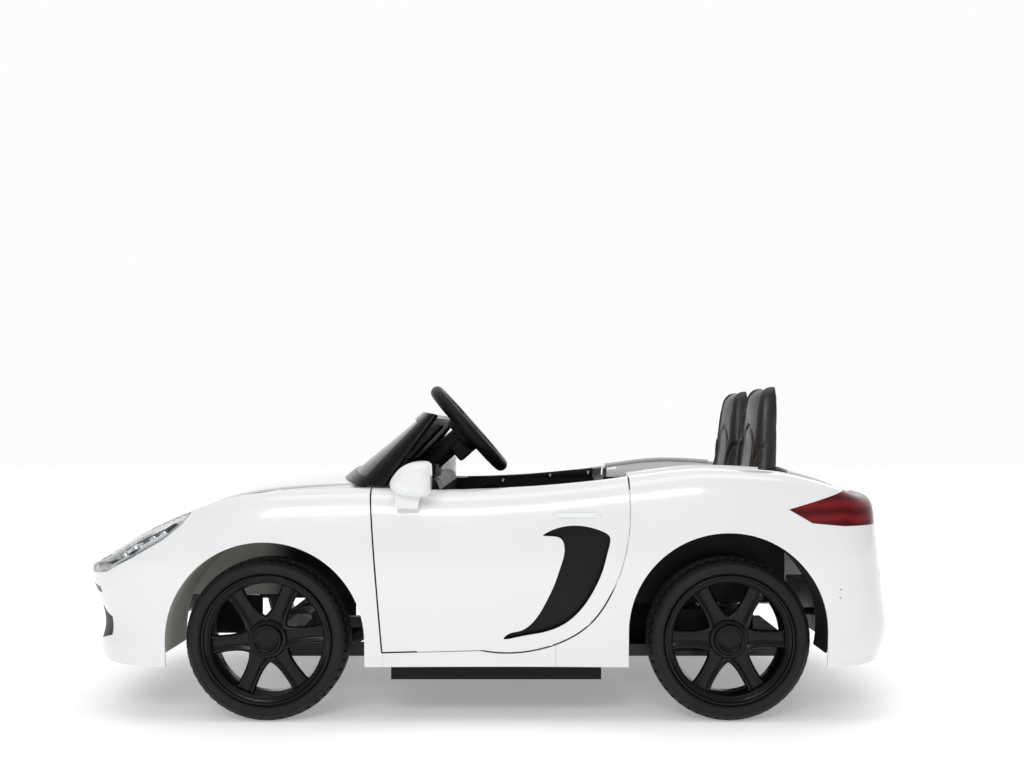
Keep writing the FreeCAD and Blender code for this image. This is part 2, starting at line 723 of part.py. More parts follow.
def door(side, name):
    grid = side_grids[side]
    far = side * 460
    trim_in = side * (door_trim_y - door_trim_wall)
    vent_floor_y = curve_value(belt_half_width, vent_outline[0][0]) - vent_depth
    skin = panel(grid).common(door_block(side)).common(box(-400, 400, side * door_trim_y, far, 0, 600))
    parts["door_skin_" + name] = skin.cut(through_side(side_wire(vent_outline), side, 300, 460))
    outside = between(grid, wall + panel_gap, V(0, side * 118, 0))
    below_top = box(-400, 400, trim_in, side * 400, 0, door_trim_top_z)
    pan = through_side(door_wire(), side, abs(trim_in), 398, -door_pan_inset).common(below_top)
    pan = pan.cut(through_side(door_wire(), side, door_trim_y, 460, -door_pan_inset - door_trim_wall))
    pan = pan.cut(outside)
    rim = through_side(side_wire(vent_outline), side, vent_floor_y - wall, 398, wall)
    parts["side_vent_" + name] = rim.cut(outside).cut(through_side(side_wire(vent_outline), side,
                                                                   vent_floor_y, 460))
    pan = pan.cut(through_side(side_wire(vent_outline), side, vent_floor_y - wall - panel_gap, 460,
                               wall + panel_gap))
    for z in hinge_heights:
        low = hinge_point(side, z)
        up = hinge_point(side, z + hinge_knuckle)
        back = up.x + door_pan_inset - hinge_edge + 8
        leaf = box(low.x, back, low.y - side * hinge_eye_radius, low.y, z + 1, z + hinge_knuckle - 1)
        eye = rod(low, up, hinge_eye_radius).fuse(leaf)
        pan = pan.fuse(eye.cut(rod(low - (up - low), up + (up - low), hinge_pin_radius + 2 * running_fit)))
    x, z = latch_place
    pan = pan.cut(rod(V(x, side * 300, z), V(x, side * 340, z), latch_boss_radius + running_fit))
    parts["door_trim_" + name] = pan
    boss = rod(V(x, trim_in - side * 6, z), V(x, side * (door_trim_y + 6), z), latch_boss_radius)
    boss = boss.fuse(rod(V(x, side * (door_trim_y + panel_gap), z), V(x, side * (door_trim_y + 4), z), 10.0))
    handle = box(x - 9, x + 46, trim_in - side * 4, trim_in - side * 10, z - 9, z + 9)
    handle = handle.makeFillet(5.0, [e for e in handle.Edges if abs(e.tangentAt(0).y) > 0.9])
    loop = box(x + 10, x + 40, trim_in, trim_in - side * 20, z - 5, z + 5)
    parts["door_latch_" + name] = boss.fuse(handle.cut(loop))


def hinge_posts():
    """Pins and the post that carries them, on the body side of the left door, and its mirror image."""
    side = LEFT
    foot = hinge_point(side, hinge_heights[0])
    top_z = hinge_heights[-1] + 2 * hinge_knuckle
    post = box(foot.x - 20, foot.x + 4, side * post_in_y, side * (post_in_y + post_depth), ledge_z, top_z)
    for z in hinge_heights:
        low = hinge_point(side, z - 10)
        up = hinge_point(side, z + hinge_knuckle + 10)
        pin = rod(low, up, hinge_pin_radius)
        for arm_z in (z - 10 - panel_gap, z + hinge_knuckle + 2 * panel_gap):
            at = hinge_point(side, arm_z)
            arm = box(at.x - 4, at.x + 4, side * post_in_y, at.y, arm_z, arm_z + 10 - panel_gap)
            post = post.fuse(arm)
        post = post.fuse(pin)
    parts["hinge_posts"] = both_sides(post)


def mirrors():
    """Door mirror pod with its foot, and a flat glass set into its rear face."""
    def ring(y, half_long, half_high):
        points = [V(mirror_x + half_long * a, y, mirror_z + half_high * b) for a, b in mirror_outline]
        curve = Part.BSplineCurve()
        curve.interpolate(points, PeriodicFlag=True)
        return Part.Wire([curve.toShape()])

    rings = [ring(y, a, b) for y, a, b in mirror_rings]
    pod = Part.makeLoft(rings, True)
    face_x = mirror_x + mirror_face
    pod = pod.cut(box(face_x, face_x + 60, 300, 470, 300, 600))
    recess = Part.makeLoft([ring(y, a - 6, b - 6) for y, a, b in mirror_rings[1:-1]], True)
    recess = recess.common(box(face_x - mirror_glass_wall, face_x + 60, 300, 470, 300, 600))
    foot = side_prism([(mirror_x - 30, mirror_z - 16), (mirror_x + 18, mirror_z - 16),
                       (mirror_x + 10, mirror_foot_z), (mirror_x - 30, mirror_foot_z)], 350, 392)
    outer = between(side_grids[RIGHT], -panel_gap, V(0, -60, 0))
    pod = pod.fuse(foot).cut(between(side_grids[RIGHT], wall + 20, V(0, -60, 0))).cut(outer)
    right = pod.cut(recess)
    glass = recess.common(box(face_x - mirror_glass_wall, face_x - 0.5, 300, 470, 300, 600))
    parts["mirror_right"] = right
    parts["mirror_left"] = mirrored(right)
    parts["mirror_glass_right"] = glass
    parts["mirror_glass_left"] = mirrored(glass)


# Windscreen: a black hoop with a tinted pane, wrapped round the front of the cabin

def screen_grid(drop_share_low, drop_share_high, side_limit, rows, columns):
    """Points of the screen's surface between two shares of its height, out to a share of its width."""
    grid = []
    for share in spread(drop_share_low, drop_share_high, rows):
        line = []
        for turn in spread(-side_limit, side_limit, columns):
            across = math.copysign(abs(math.sin(turn)) ** screen_roundness, turn)
            ahead = math.cos(turn) ** screen_roundness
            foot_x = screen_foot_x - screen_foot_bow * ahead
            foot_y = screen_foot_half * across
            foot = V(foot_x, foot_y, top_height(foot_x, foot_y) + panel_gap)
            top = V(screen_top_x - screen_top_bow * ahead, screen_top_half * across, screen_top_z + 8 * ahead)
            line.append(foot + (top - foot) * share)
        grid.append(line)
    return grid


def windscreen():
    quarter = math.pi / 2
    whole = screen_grid(0.0, 1.0, quarter * 0.985, 5, 25)
    window = screen_grid(screen_sill_share, 1 - screen_bar_share, quarter * screen_window_share, 4, 23)
    hoop = panel(whole, screen_frame_wall)
    opening = panel(window, screen_frame_wall + 40, 20)
    under = [panel(lid_grid(*bonnet_span, 13, 11), wall, panel_gap), panel(front_grid, wall, panel_gap)]
    under += [panel(grid, wall + screen_over_door, screen_over_door) for grid in side_grids.values()]
    parts["windscreen_frame"] = max(hoop.cut(opening).cut(under).Solids, key=lambda piece: piece.Volume)
    inner = screen_grid(screen_sill_share + 0.006, 1 - screen_bar_share - 0.006,
                        quarter * (screen_window_share - 0.006), 4, 23)
    parts["windscreen"] = panel(inner, screen_pane_wall, -(screen_frame_wall - screen_pane_wall) / 2)


# Steering

column_axis = V(math.cos(math.radians(steer_tilt_deg)), 0, math.sin(math.radians(steer_tilt_deg)))
column_down = V(math.sin(math.radians(steer_tilt_deg)), 0, -math.cos(math.radians(steer_tilt_deg)))
crank_radius = steer_arm * math.sin(math.radians(knuckle_range_deg)) / math.sin(math.radians(steer_range_deg))
tie_rod_x = wheelbase_front_x + steer_arm


def along_column(distance):
    """Point on the steering column, measured up from the middle of the wheel's rim."""
    return steer_middle + column_axis * distance


def column_end():
    """Lower end of the column, whose crank pin hangs over the tie rod."""
    run = (tie_rod_x - steer_middle.x - column_down.x * crank_radius) / column_axis.x
    return along_column(run)


def steering_wheel():
    rim = Part.makeTorus(steer_radius - steer_grip_radius, steer_grip_radius, steer_middle, column_axis)
    hub_low = along_column(-steer_hub_depth)
    hub = rod(hub_low, along_column(-steer_hub_depth + steer_hub_height), steer_hub_radius)
    wheel = rim.fuse(hub)
    across = Y_AXIS
    reach = steer_radius - steer_grip_radius
    for direction in (across, across * -1, column_down):
        mid = along_column(-steer_hub_depth + steer_hub_height / 2)
        tip = steer_middle + direction * reach
        spoke = rod(mid, tip, steer_spoke_radius)
        wheel = wheel.fuse(spoke)
    bore_low = along_column(-steer_hub_depth - 1)
    pad_seat = rod(along_column(pad_proud - pad_height - pad_travel - link_play), along_column(40),
                   pad_radius + link_play)
    wheel = wheel.cut(rod(bore_low, along_column(-steer_hub_depth + 16), column_radius - 2))
    parts["steering_wheel"] = wheel.cut(pad_seat)
    low = along_column(-pad_height + pad_proud)
    pad = rod(low, along_column(pad_proud), pad_radius)
    parts["horn_pad"] = pad.makeFillet(4.0, [e for e in pad.Edges if e.Curve.TypeId == "Part::GeomCircle"
                                             and (e.Curve.Center - along_column(pad_proud)).Length < 1])


def steering_column():
    end = column_end()
    tube = rod(end, along_column(-steer_hub_depth), column_radius)
    spigot = rod(along_column(-steer_hub_depth - 1), along_column(-steer_hub_depth + 16), column_radius - 2)
    pin_top = end + column_down * crank_radius
    arm = rod(end + column_axis * 7, pin_top + column_axis * 7, 5.0)
    ball = Part.makeSphere(crank_ball_radius, pin_top)
    neck = rod(pin_top, pin_top + column_axis * 7, 3.5)
    parts["steering_column"] = tube.fuse(spigot).fuse(arm).fuse(neck).fuse(ball)


def steering_links():
    """Tie rod with slotted ends and a fork for the crank, and a knuckle on each side."""
    ball = column_end() + column_down * crank_radius
    end_y = kingpin_y
    bar = rod(V(tie_rod_x, -end_y + 18, tie_rod_z), V(tie_rod_x, end_y - 18, tie_rod_z), tie_rod_radius)
    for side in (LEFT, RIGHT):
        eye = box(tie_rod_x - 15, tie_rod_x + 12, side * (end_y - 20), side * (end_y + 12), tie_rod_z - 4,
                  tie_rod_z + 4)
        slot = box(tie_rod_x - link_pin_radius - link_slack - 4, tie_rod_x + link_pin_radius + 1,
                   side * (end_y - link_pin_radius - 1.0), side * (end_y + link_pin_radius + 1.0),
                   tie_rod_z - 10, tie_rod_z + 10)
        bar = bar.fuse(eye).cut(slot)
    for side in (LEFT, RIGHT):
        prong_y = ball.y + side * (crank_ball_radius + link_slack)
        prong = box(tie_rod_x - 8, tie_rod_x + 8, prong_y, prong_y + side * 5, tie_rod_z, ball.z + 5)
        bar = bar.fuse(prong)
    foot_y = crank_ball_radius + link_slack + 5
    bar = bar.fuse(box(tie_rod_x - 8, tie_rod_x + 8, ball.y - foot_y, ball.y + foot_y, tie_rod_z - 6,
                       tie_rod_z + 8))
    parts["tie_rod"] = bar
    x = wheelbase_front_x
    low_z, high_z = tyre_radius - knuckle_half, tyre_radius + knuckle_half
    barrel = rod(V(x, -kingpin_y, low_z), V(x, -kingpin_y, high_z), kingpin_radius + 6)
    arm_z = tie_rod_z - 4 - panel_gap
    arm = box(x, tie_rod_x + 7, -kingpin_y - 6, -kingpin_y + 6, arm_z - 8, arm_z)
    riser = rod(V(x, -kingpin_y, high_z - 4), V(x, -kingpin_y, arm_z), kingpin_radius + 5)
    pin = rod(V(tie_rod_x, -kingpin_y, arm_z - 4), V(tie_rod_x, -kingpin_y, tie_rod_z + 7), link_pin_radius)
    stub = rod(V(x, -kingpin_y, tyre_radius), V(x, -wheel_face_y + 14, tyre_radius), axle_radius)
    collar = rod(V(x, -kingpin_y, tyre_radius), V(x, -hub_inner_y + panel_gap, tyre_radius), axle_radius + 4)
    bore = rod(V(x, -kingpin_y, 0), V(x, -kingpin_y, 300), kingpin_radius + running_fit)
    knuckle = barrel.fuse(riser).fuse(arm).fuse(pin).fuse(collar).fuse(stub).cut(bore)
    parts["knuckle_left"] = knuckle
    parts["knuckle_right"] = mirrored(knuckle)
    beam = box(x - 12, x + 12, -beam_end_y, beam_end_y, tyre_radius - 12, tyre_radius + 12)
    for side in (LEFT, RIGHT):
        for lug_z in (low_z - panel_gap - beam_lug, high_z + panel_gap):
            if lug_z > tyre_radius:
                continue
            beam = beam.fuse(box(x - 14, x + 14, side * (beam_end_y - 20), side * (kingpin_y + 12), lug_z,
                                 lug_z + beam_lug))
        beam = beam.fuse(box(x - 12, x + 12, side * (beam_end_y - 20), side * beam_end_y,
                             low_z - panel_gap - beam_lug, tyre_radius))
        beam = beam.fuse(rod(V(x, side * kingpin_y, low_z - panel_gap - 3),
                             V(x, side * kingpin_y, arm_z - 1), kingpin_radius))
        beam = beam.fuse(box(x - 12, x + 12, side * (rail_y - rail_size / 2), side * (rail_y + rail_size / 2),
                             rail_z + rail_size / 2, tyre_radius - 11))
    parts["front_axle_beam"] = beam


# Wheels

def wheel_parts(x, side, name):
    """Tyre, spoked rim and hub cap of one wheel, modelled on the left and mirrored for the right."""
    z = tyre_radius
    out_y = -wheel_face_y
    in_y = out_y + tyre_width
    middle = V(x, 0, z)
    bed = rim_radius - flange_height

    def at(radius, y):
        return V(x + radius, y, z)

    def sidewall(edge_y, inward):
        return [at(tyre_radius + drop, edge_y + inward * set_in) for drop, set_in in tyre_sidewall]

    outer = sidewall(out_y, 1)
    inner = sidewall(in_y, -1)[::-1]
    bead = flange_width + link_play
    foot_out = at(bed + panel_gap, out_y + bead)
    foot_in = at(bed + panel_gap, in_y - bead)
    lines = [Part.makeLine(foot_out, outer[0]), spline_edge(outer), Part.makeLine(outer[-1], inner[0]),
             spline_edge(inner), Part.makeLine(inner[-1], foot_in), Part.makeLine(foot_in, foot_out)]
    tyre = Part.Face(Part.Wire(lines)).revolve(middle, Y_AXIS, 360)
    rim = turned([at(rim_radius, out_y + 2), at(rim_radius, out_y + flange_width),
                  at(bed, out_y + flange_width),
                  at(bed, in_y - flange_width), at(rim_radius, in_y - flange_width), at(rim_radius, in_y - 2),
                  at(bed - barrel_wall, in_y - 2), at(bed - barrel_wall, out_y + spoke_high),
                  at(bed - barrel_wall - 2, out_y + 10), at(bed - 2, out_y + 2)], middle, Y_AXIS)
    face_y = out_y + spoke_low
    rim = rim.fuse(rod(V(x, face_y - hub_proud, z), V(x, -hub_inner_y, z), hub_radius))
    far = bed - barrel_wall + 2
    half_in, half_out = spoke_hub_width / 2, spoke_rim_width / 2
    for k in range(spokes):
        outline = [V(10, face_y, -half_in), V(far, face_y, -half_out), V(far, face_y, half_out),
                   V(10, face_y, half_in)]
        spoke = prism(outline, V(0, spoke_high - spoke_low, 0))
        spoke.rotate(V(0, 0, 0), Y_AXIS, 360.0 * k / spokes)
        spoke.translate(middle)
        rim = rim.fuse(spoke)
    seat = hub_cap_radius - cap_lip
    rim = rim.cut(rod(V(x, out_y - 5, z), V(x, 0, z), axle_radius + running_fit))
    rim = rim.cut(rod(V(x, out_y, z), V(x, face_y + cap_seat, z), seat))
    front = face_y - hub_proud
    cap = turned([at(0, front - cap_height), at(seat, front - cap_height + 1), at(hub_cap_radius, front - 3),
                  at(hub_cap_radius, front - panel_gap), at(seat - panel_gap, front - panel_gap),
                  at(seat - panel_gap, face_y + cap_seat - 1), at(seat - cap_wall, face_y + cap_seat - 1),
                  at(seat - cap_wall, front - cap_height + wall), at(0, front - cap_height + wall)], middle,
                 Y_AXIS)
    for shape, kind in ((tyre, "tyre_"), (rim, "rim_"), (cap, "hub_cap_")):
        parts[kind + name] = shape if side == LEFT else mirrored(shape)


def arch_liners():
    """Moulded liner over each wheel: a barrel under the arch, closed by an inner apron at the front."""
    front = Part.makeCylinder(front_arch_radius + liner_lead + liner_wall, 400,
                              V(wheelbase_front_x, -400, tyre_radius), Y_AXIS)
    hollow = Part.makeCylinder(front_arch_radius + liner_lead, 400, V(wheelbase_front_x, -400, tyre_radius),
                               Y_AXIS)
    apron = front.common(box(-700, 0, -apron_y, -apron_y + liner_wall, apron_foot_z, 500))
    front = front.cut(hollow).common(box(-700, 0, -400, -apron_y + liner_wall, liner_foot_z, 500)).fuse(apron)
    rows = [row for row in front_grid if row[0].y < 0 and row[0].x > front_turn_x - 120]
    front = front.cut(between(rows, wall + panel_gap, V(0, LEFT * 118, 0)))
    front = front.cut(panel(front_grid, wall + panel_gap))
    rear = Part.makeCylinder(rear_arch_radius + liner_lead + liner_wall, 400,
                             V(rear_arch_x, -400, rear_arch_z), Y_AXIS)
    hollow = Part.makeCylinder(rear_arch_radius + liner_lead, 400, V(rear_arch_x, -400, rear_arch_z), Y_AXIS)
    rear = rear.cut(hollow).common(box(0, 700, -rear_liner_y, -tub_half_width - panel_gap, liner_foot_z, 500))
    parts["arch_liners"] = group(front, mirrored(front), rear, mirrored(rear))


# Chassis and drive

def chassis():
    """Two steel tubes under the floor, cross tubes, battery tray and the rear axle's bearing blocks."""
    half = rail_size / 2
    top = rail_z + half
    x, z = wheelbase_rear_x, tyre_radius
    frame = box(seat_step_x, rail_rear_x, -rail_y, rail_y, top - tray_wall, top)
    for cross_x in (rail_front_x + half, seat_step_x, rail_rear_x - half):
        frame = frame.fuse(box(cross_x - half, cross_x + half, -rail_y, rail_y, rail_z - half, top))
    for side in (LEFT, RIGHT):
        low, high = side * rail_y - half, side * rail_y + half
        frame = frame.fuse(box(rail_front_x, rail_rear_x, low, high, rail_z - half, top))
        frame = frame.fuse(box(x - bearing_half, x + bearing_half, low, high, top, z + bearing_half))
        frame = frame.fuse(box(x - gearbox_ahead + 10, x - 30, side * rail_y, side * (gearbox_out_y - 10),
                               top - tray_wall, z - gearbox_below))
    axle_end = wheel_face_y - axle_recess
    parts["chassis_frame"] = frame.cut(rod(V(x, -axle_end, z), V(x, axle_end, z), axle_radius + running_fit))
    parts["rear_axle"] = rod(V(x, -axle_end, z), V(x, axle_end, z), axle_radius)


def drive():
    """Reduction gearbox and motor behind each rear wheel, battery and control box between them."""
    x, z = wheelbase_rear_x, tyre_radius
    ahead, below = gearbox_ahead, gearbox_below
    outline = [(x - ahead + 12, z - below), (x + 30, z - below), (x + 40, z - below + 22),
               (x + 40, z + below - 8),
               (x + 20, z + below + 10), (x - ahead + 12, z + below + 10), (x - ahead, z + below - 4),
               (x - ahead, z - below + 14)]
    case = side_prism(outline, -gearbox_out_y, -gearbox_in_y)
    case = case.fuse(rod(V(x, -gearbox_out_y + 1, z), V(x, -hub_inner_y + link_play, z), output_radius))
    case = case.cut(rod(V(x, -hub_inner_y, z), V(x, 0, z), axle_radius + running_fit))
    start = V(x - ahead + motor_radius + 14, -gearbox_in_y, z + 6)
    motor = rod(start, start + Y_AXIS * motor_length, motor_radius)
    motor = motor.fuse(rod(start, start + Y_AXIS * (motor_length + 8), motor_boss_radius))
    parts["gearboxes"] = both_sides(case)
    parts["drive_motors"] = both_sides(motor)
    tray_z = rail_z + rail_size / 2
    half = battery_width / 2
    battery = box(battery_x, battery_x + battery_length, -half, half, tray_z, tray_z + battery_height)
    battery = battery.makeFillet(4.0, [e for e in battery.Edges if abs(e.tangentAt(0).z) > 0.9])
    top = tray_z + battery_height
    for y in (-terminal_y, terminal_y):
        battery = battery.fuse(box(battery_x + 10, battery_x + 22, y - 5, y + 5, top - 1, top + 5))
    parts["battery"] = battery
    half = control_width / 2
    control = box(control_x, control_x + control_length, -half, half, tray_z, tray_z + control_height)
    control = control.makeFillet(6.0, [e for e in control.Edges if abs(e.tangentAt(0).z) > 0.9])
    for y in (-30.0, 0.0, 30.0):
        control = control.cut(box(control_x - 1, control_x + 8, y - 9, y + 9, tray_z + 12, tray_z + 26))
    parts["control_box"] = control


# Cabin

def floor_tub():
    """Floor, seat step, seat deck, back wall and side walls, with a ledge out to each sill."""
    w = tub_wall
    half = tub_half_width
    tub = box(firewall_x, seat_step_x, -half, half, tub_floor_z, tub_floor_z + w)
    tub = tub.fuse(box(seat_step_x - w, seat_step_x, -half, half, tub_floor_z, seat_deck_z))
    tub = tub.fuse(box(seat_step_x - w, cabin_rear_x, -half, half, seat_deck_z - w, seat_deck_z))
    tub = tub.fuse(box(cabin_rear_x - w, cabin_rear_x, -half, half, seat_deck_z - w, tub_side_top_z))
    tub = tub.fuse(box(firewall_x, firewall_x + w, -footwell_half, footwell_half, tub_floor_z,
                       firewall_top_z))
    for side in (LEFT, RIGHT):
        tub = tub.fuse(box(firewall_x, seat_step_x, side * (half - w), side * half, tub_floor_z, ledge_z))
        ledge = box(firewall_x, door_rear_x - w, side * (half - w), side * ledge_out_y, ledge_z - w, ledge_z)
        tub = tub.fuse(ledge.cut(between(side_grids[side], wall + panel_gap, V(0, side * 118, 0))))
        tub = tub.fuse(box(*skid_span, side * skid_in_y, side * skid_out_y, skid_foot_z, ledge_z - 1))
        tub = tub.fuse(box(door_rear_x, cabin_rear_x, side * (half - w), side * half, seat_deck_z - w,
                           tub_side_top_z))
    low, high = tub_floor_z - 1, tub_floor_z + tunnel_height
    run = firewall_x + 120
    tunnel = side_prism([(firewall_x, low + 1), (seat_step_x, low + 1), (seat_step_x, seat_deck_z),
                         (seat_step_x - 60, seat_deck_z), (run, high), (firewall_x, high)], -tunnel_half,
                        tunnel_half)
    core = side_prism([(firewall_x + w, low), (seat_step_x - w, low), (seat_step_x - w, seat_deck_z - w),
                       (seat_step_x - 60, seat_deck_z - w), (run, high - w), (firewall_x + w, high - w)],
                      -tunnel_half + w, tunnel_half - w)
    tub = tub.fuse(tunnel).cut(core).cut(rod(column_end(), steer_middle, column_radius + column_clear))
    for y in (pedal_y - pedal_width / 2 - panel_gap - w, pedal_y + pedal_width / 2 + panel_gap):
        tub = tub.fuse(box(pedal_pivot_x - 7, pedal_pivot_x + 7, y, y + w, tub_floor_z + w - 1,
                           pedal_pivot_z + 7))
    reach = pedal_width / 2 + w
    bore = rod(V(pedal_pivot_x, pedal_y - reach, pedal_pivot_z),
               V(pedal_pivot_x, pedal_y + reach, pedal_pivot_z),
               pedal_pin_radius + running_fit)
    parts["floor_tub"] = tub.cut(bore)


def pedal():
    """Accelerator plate, hinged at the heel, that slopes up towards the firewall."""
    run = pedal_length * math.cos(math.radians(pedal_slope_deg))
    rise = pedal_length * math.sin(math.radians(pedal_slope_deg))
    x, z = pedal_pivot_x, pedal_pivot_z
    half = pedal_width / 2
    plate = side_prism([(x + 4, z + 3), (x - run, z + rise + 3), (x - run - 3, z + rise - 3), (x, z - 4)],
                       pedal_y - half, pedal_y + half)
    for share in (0.25, 0.43, 0.61, 0.79):
        rib_x, rib_z = x - run * share, z + rise * share
        plate = plate.fuse(box(rib_x - 3, rib_x + 3, pedal_y - half + 5, pedal_y + half - 5, rib_z,
                               rib_z + 7))
    reach = half + tub_wall
    parts["accelerator_pedal"] = plate.fuse(rod(V(x, pedal_y - reach, z), V(x, pedal_y + reach, z),
                                                pedal_pin_radius))


def dashboard():
    """Dash across the cabin with a hood over the dials, a shroud round the column and the switch seats."""
    front, rear, top = dash_front_x, dash_rear_x, dash_top_z
    dash = side_prism([(front, top - 26), (front + 60, top - 8), (rear - 22, top), (rear - 6, top - 6),
                       (rear, top - 22),
                       (rear - 4, top - 96), (rear - 30, top - 120), (front, top - 130)], -dash_half,
                      dash_half)
    hood = side_prism([(rear - 90, top - 12), (rear - 26, top + 26), (rear - 10, top + 24),
                       (rear - 18, top - 16)],
                      steer_y - hood_half, steer_y + hood_half)
    shroud = rod(along_column(-shroud_length), along_column(-steer_hub_depth - shroud_gap), shroud_radius)
    hollow = side_prism([(front - 1, top - 40), (rear - 30, top - 18), (rear - 10, top - 30),
                         (rear - 13, top - 92),
                         (rear - 36, top - 112), (front - 1, top - 112)], -dash_half + 6, dash_half - 6)
    dash = dash.fuse(hood).fuse(shroud).cut(hollow)
    dash = dash.cut(rod(column_end(), steer_middle, column_radius + running_fit))
    face = rear - 2
    dash = dash.cut(rod(V(face - 40, power_y, button_z), V(face + 40, power_y, button_z),
                        button_radius + link_play))
    half_y, half_z = switch_half_y + link_play, switch_half_z + 2 * link_play
    dash = dash.cut(box(face - 40, face + 40, switch_y - half_y, switch_y + half_y, button_z - half_z,
                        button_z + half_z))
    parts["dashboard"] = dash
    button = rod(V(face - 24, power_y, button_z), V(face + button_proud, power_y, button_z), button_radius)
    parts["power_button"] = button
    rocker = rod(V(face - 8, switch_y - switch_half_y, button_z),
                 V(face - 8, switch_y + switch_half_y, button_z), switch_half_z)
    block = box(face - 12, face + 40, switch_y - switch_half_y, switch_y + switch_half_y, button_z - 13,
                button_z + 13)
    parts["direction_switch"] = rocker.common(block)


# Seats: padded cushions and backs, lofted through crowned sections with two sewn channels

def seat_section(place, across, out, half, bolster, middle):
    """Closed section of a padded seat: flat back, bowed sides, two bolsters, panel between channels."""
    seam = half * seat_seam_share
    outline = [(half - seat_draw_in, 0), (half, bolster * 0.45), (half - seat_draw_in, bolster * 0.86),
               ((half + seam) / 2 + 2, bolster), (seam + channel_half, middle),
               (seam, middle - channel_depth),
               (seam - channel_half, middle), (0, middle + seat_crown)]
    right = [place + across * u + out * v for u, v in outline]
    left = [place - across * u + out * v for u, v in outline]
    edges = [Part.makeLine(left[0], right[0])]
    for i in (0, 2, 4):
        edges.append(Part.Arc(right[i], right[i + 1], right[i + 2]).toShape())
    edges.append(Part.Arc(right[6], right[7], left[6]).toShape())
    for i in (4, 2, 0):
        edges.append(Part.Arc(left[i + 2], left[i + 1], left[i]).toShape())
    return Part.Wire(edges)


def seats():
    cushion_rings = []
    back_rings = []
    for x, narrow, height in cushion_stations:
        place = V(x, -seat_middle_y, seat_deck_z + panel_gap)
        cushion_rings.append(seat_section(place, Y_AXIS, Z_AXIS, seat_width / 2 - narrow, height,
                                          height - cushion_dish))
    for z, narrow, bolster, middle in back_stations:
        place = V(seat_back_rear_x, -seat_middle_y, z)
        back_rings.append(seat_section(place, Y_AXIS, X_AXIS * -1, seat_width / 2 - narrow, bolster, middle))
    cushion = Part.makeLoft(cushion_rings, True)
    back = Part.makeLoft(back_rings, True)
    parts["seat_cushion_left"] = cushion
    parts["seat_cushion_right"] = mirrored(cushion)
    parts["seat_back_left"] = back
    parts["seat_back_right"] = mirrored(back)


front_body()
headlamps()
rear_body()
sills()
door(LEFT, "left")
door(RIGHT, "right")
hinge_posts()
mirrors()
windscreen()
steering_wheel()
steering_column()
steering_links()
for axle_x, end_name in ((wheelbase_front_x, "front"), (wheelbase_rear_x, "rear")):
    wheel_parts(axle_x, LEFT, end_name + "_left")
    wheel_parts(axle_x, RIGHT, end_name + "_right")
arch_liners()
chassis()
drive()
floor_tub()
pedal()
dashboard()
seats()
for name, shape in parts.items():
    shape.exportStep("parts/%s.step" % name)
    print(name, shape.isValid(), len(shape.Solids), round(shape.Volume))
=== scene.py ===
# %% [markdown]
# # Dressing an electric ride-on car
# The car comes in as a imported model: a fixed frame of rigid pieces in metres, driving towards -X with its
# left side at -Y. This lesson keeps the rigid pieces where they are, gives each one a finish, and models
# what a machine drawing leaves out: padded seats, tyre tread, spokes, lamps, handles and screws.

# %% Load the frame
import json
import math

import bpy
from mathutils import Matrix, Vector
from mathutils.bvhtree import BVHTree
from mathutils.kdtree import KDTree


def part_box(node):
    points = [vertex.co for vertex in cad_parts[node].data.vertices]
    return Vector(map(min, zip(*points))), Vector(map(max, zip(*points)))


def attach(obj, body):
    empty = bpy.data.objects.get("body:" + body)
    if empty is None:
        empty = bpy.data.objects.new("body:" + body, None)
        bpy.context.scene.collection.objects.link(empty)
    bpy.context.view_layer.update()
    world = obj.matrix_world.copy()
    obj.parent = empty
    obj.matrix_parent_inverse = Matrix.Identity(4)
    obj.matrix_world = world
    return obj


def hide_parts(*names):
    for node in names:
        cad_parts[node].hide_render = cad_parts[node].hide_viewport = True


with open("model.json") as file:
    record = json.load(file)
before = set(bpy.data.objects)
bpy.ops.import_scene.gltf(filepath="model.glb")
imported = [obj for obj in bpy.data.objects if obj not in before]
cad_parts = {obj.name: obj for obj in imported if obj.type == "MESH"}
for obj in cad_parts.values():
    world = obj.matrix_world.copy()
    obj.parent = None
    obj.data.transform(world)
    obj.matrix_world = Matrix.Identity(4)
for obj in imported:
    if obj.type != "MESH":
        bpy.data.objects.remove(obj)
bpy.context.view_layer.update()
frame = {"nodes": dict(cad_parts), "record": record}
nodes = frame["nodes"]
bpy.ops.object.select_all(action="DESELECT")

# %% [markdown]
# ## Camera
# The photograph is a level side view from about two and a half metres, close enough for the far seat and the
# far mirror to show past the near ones. A level camera keeps the uprights upright, so the framing is done
# with a small lens shift and the camera is not tilted.

# %% Camera
photo_width = 1024
photo_middle = (512, 384)
axis_pixel = (522, 431)
focal_pixels = 1136
sensor_mm = 36.0
camera_place = (0.0715, -2.45, 0.534)

lens_data = bpy.data.cameras.new("photo_camera")
lens_data.sensor_width = sensor_mm
lens_data.lens = sensor_mm * focal_pixels / photo_width
lens_data.shift_x = (photo_middle[0] - axis_pixel[0]) / photo_width
lens_data.shift_y = (axis_pixel[1] - photo_middle[1]) / photo_width
camera = bpy.data.objects.new("photo_camera", lens_data)
camera.location = camera_place
camera.rotation_euler = (math.radians(90), 0, 0)
bpy.context.scene.collection.objects.link(camera)
bpy.context.scene.camera = camera
print("lens", round(lens_data.lens, 2), "mm")

# %% [markdown]
# ## Floor
# The photograph has a white ground that runs into a white backdrop, with a soft shadow under the car. One large
# plane gives both. It glows a little, because bounced light alone would leave it grey beside a white car.

# %% Floor
floor_side = 30
floor_colour = (0.95, 0.95, 0.95)
floor_roughness = 0.8
floor_glow = 0.30

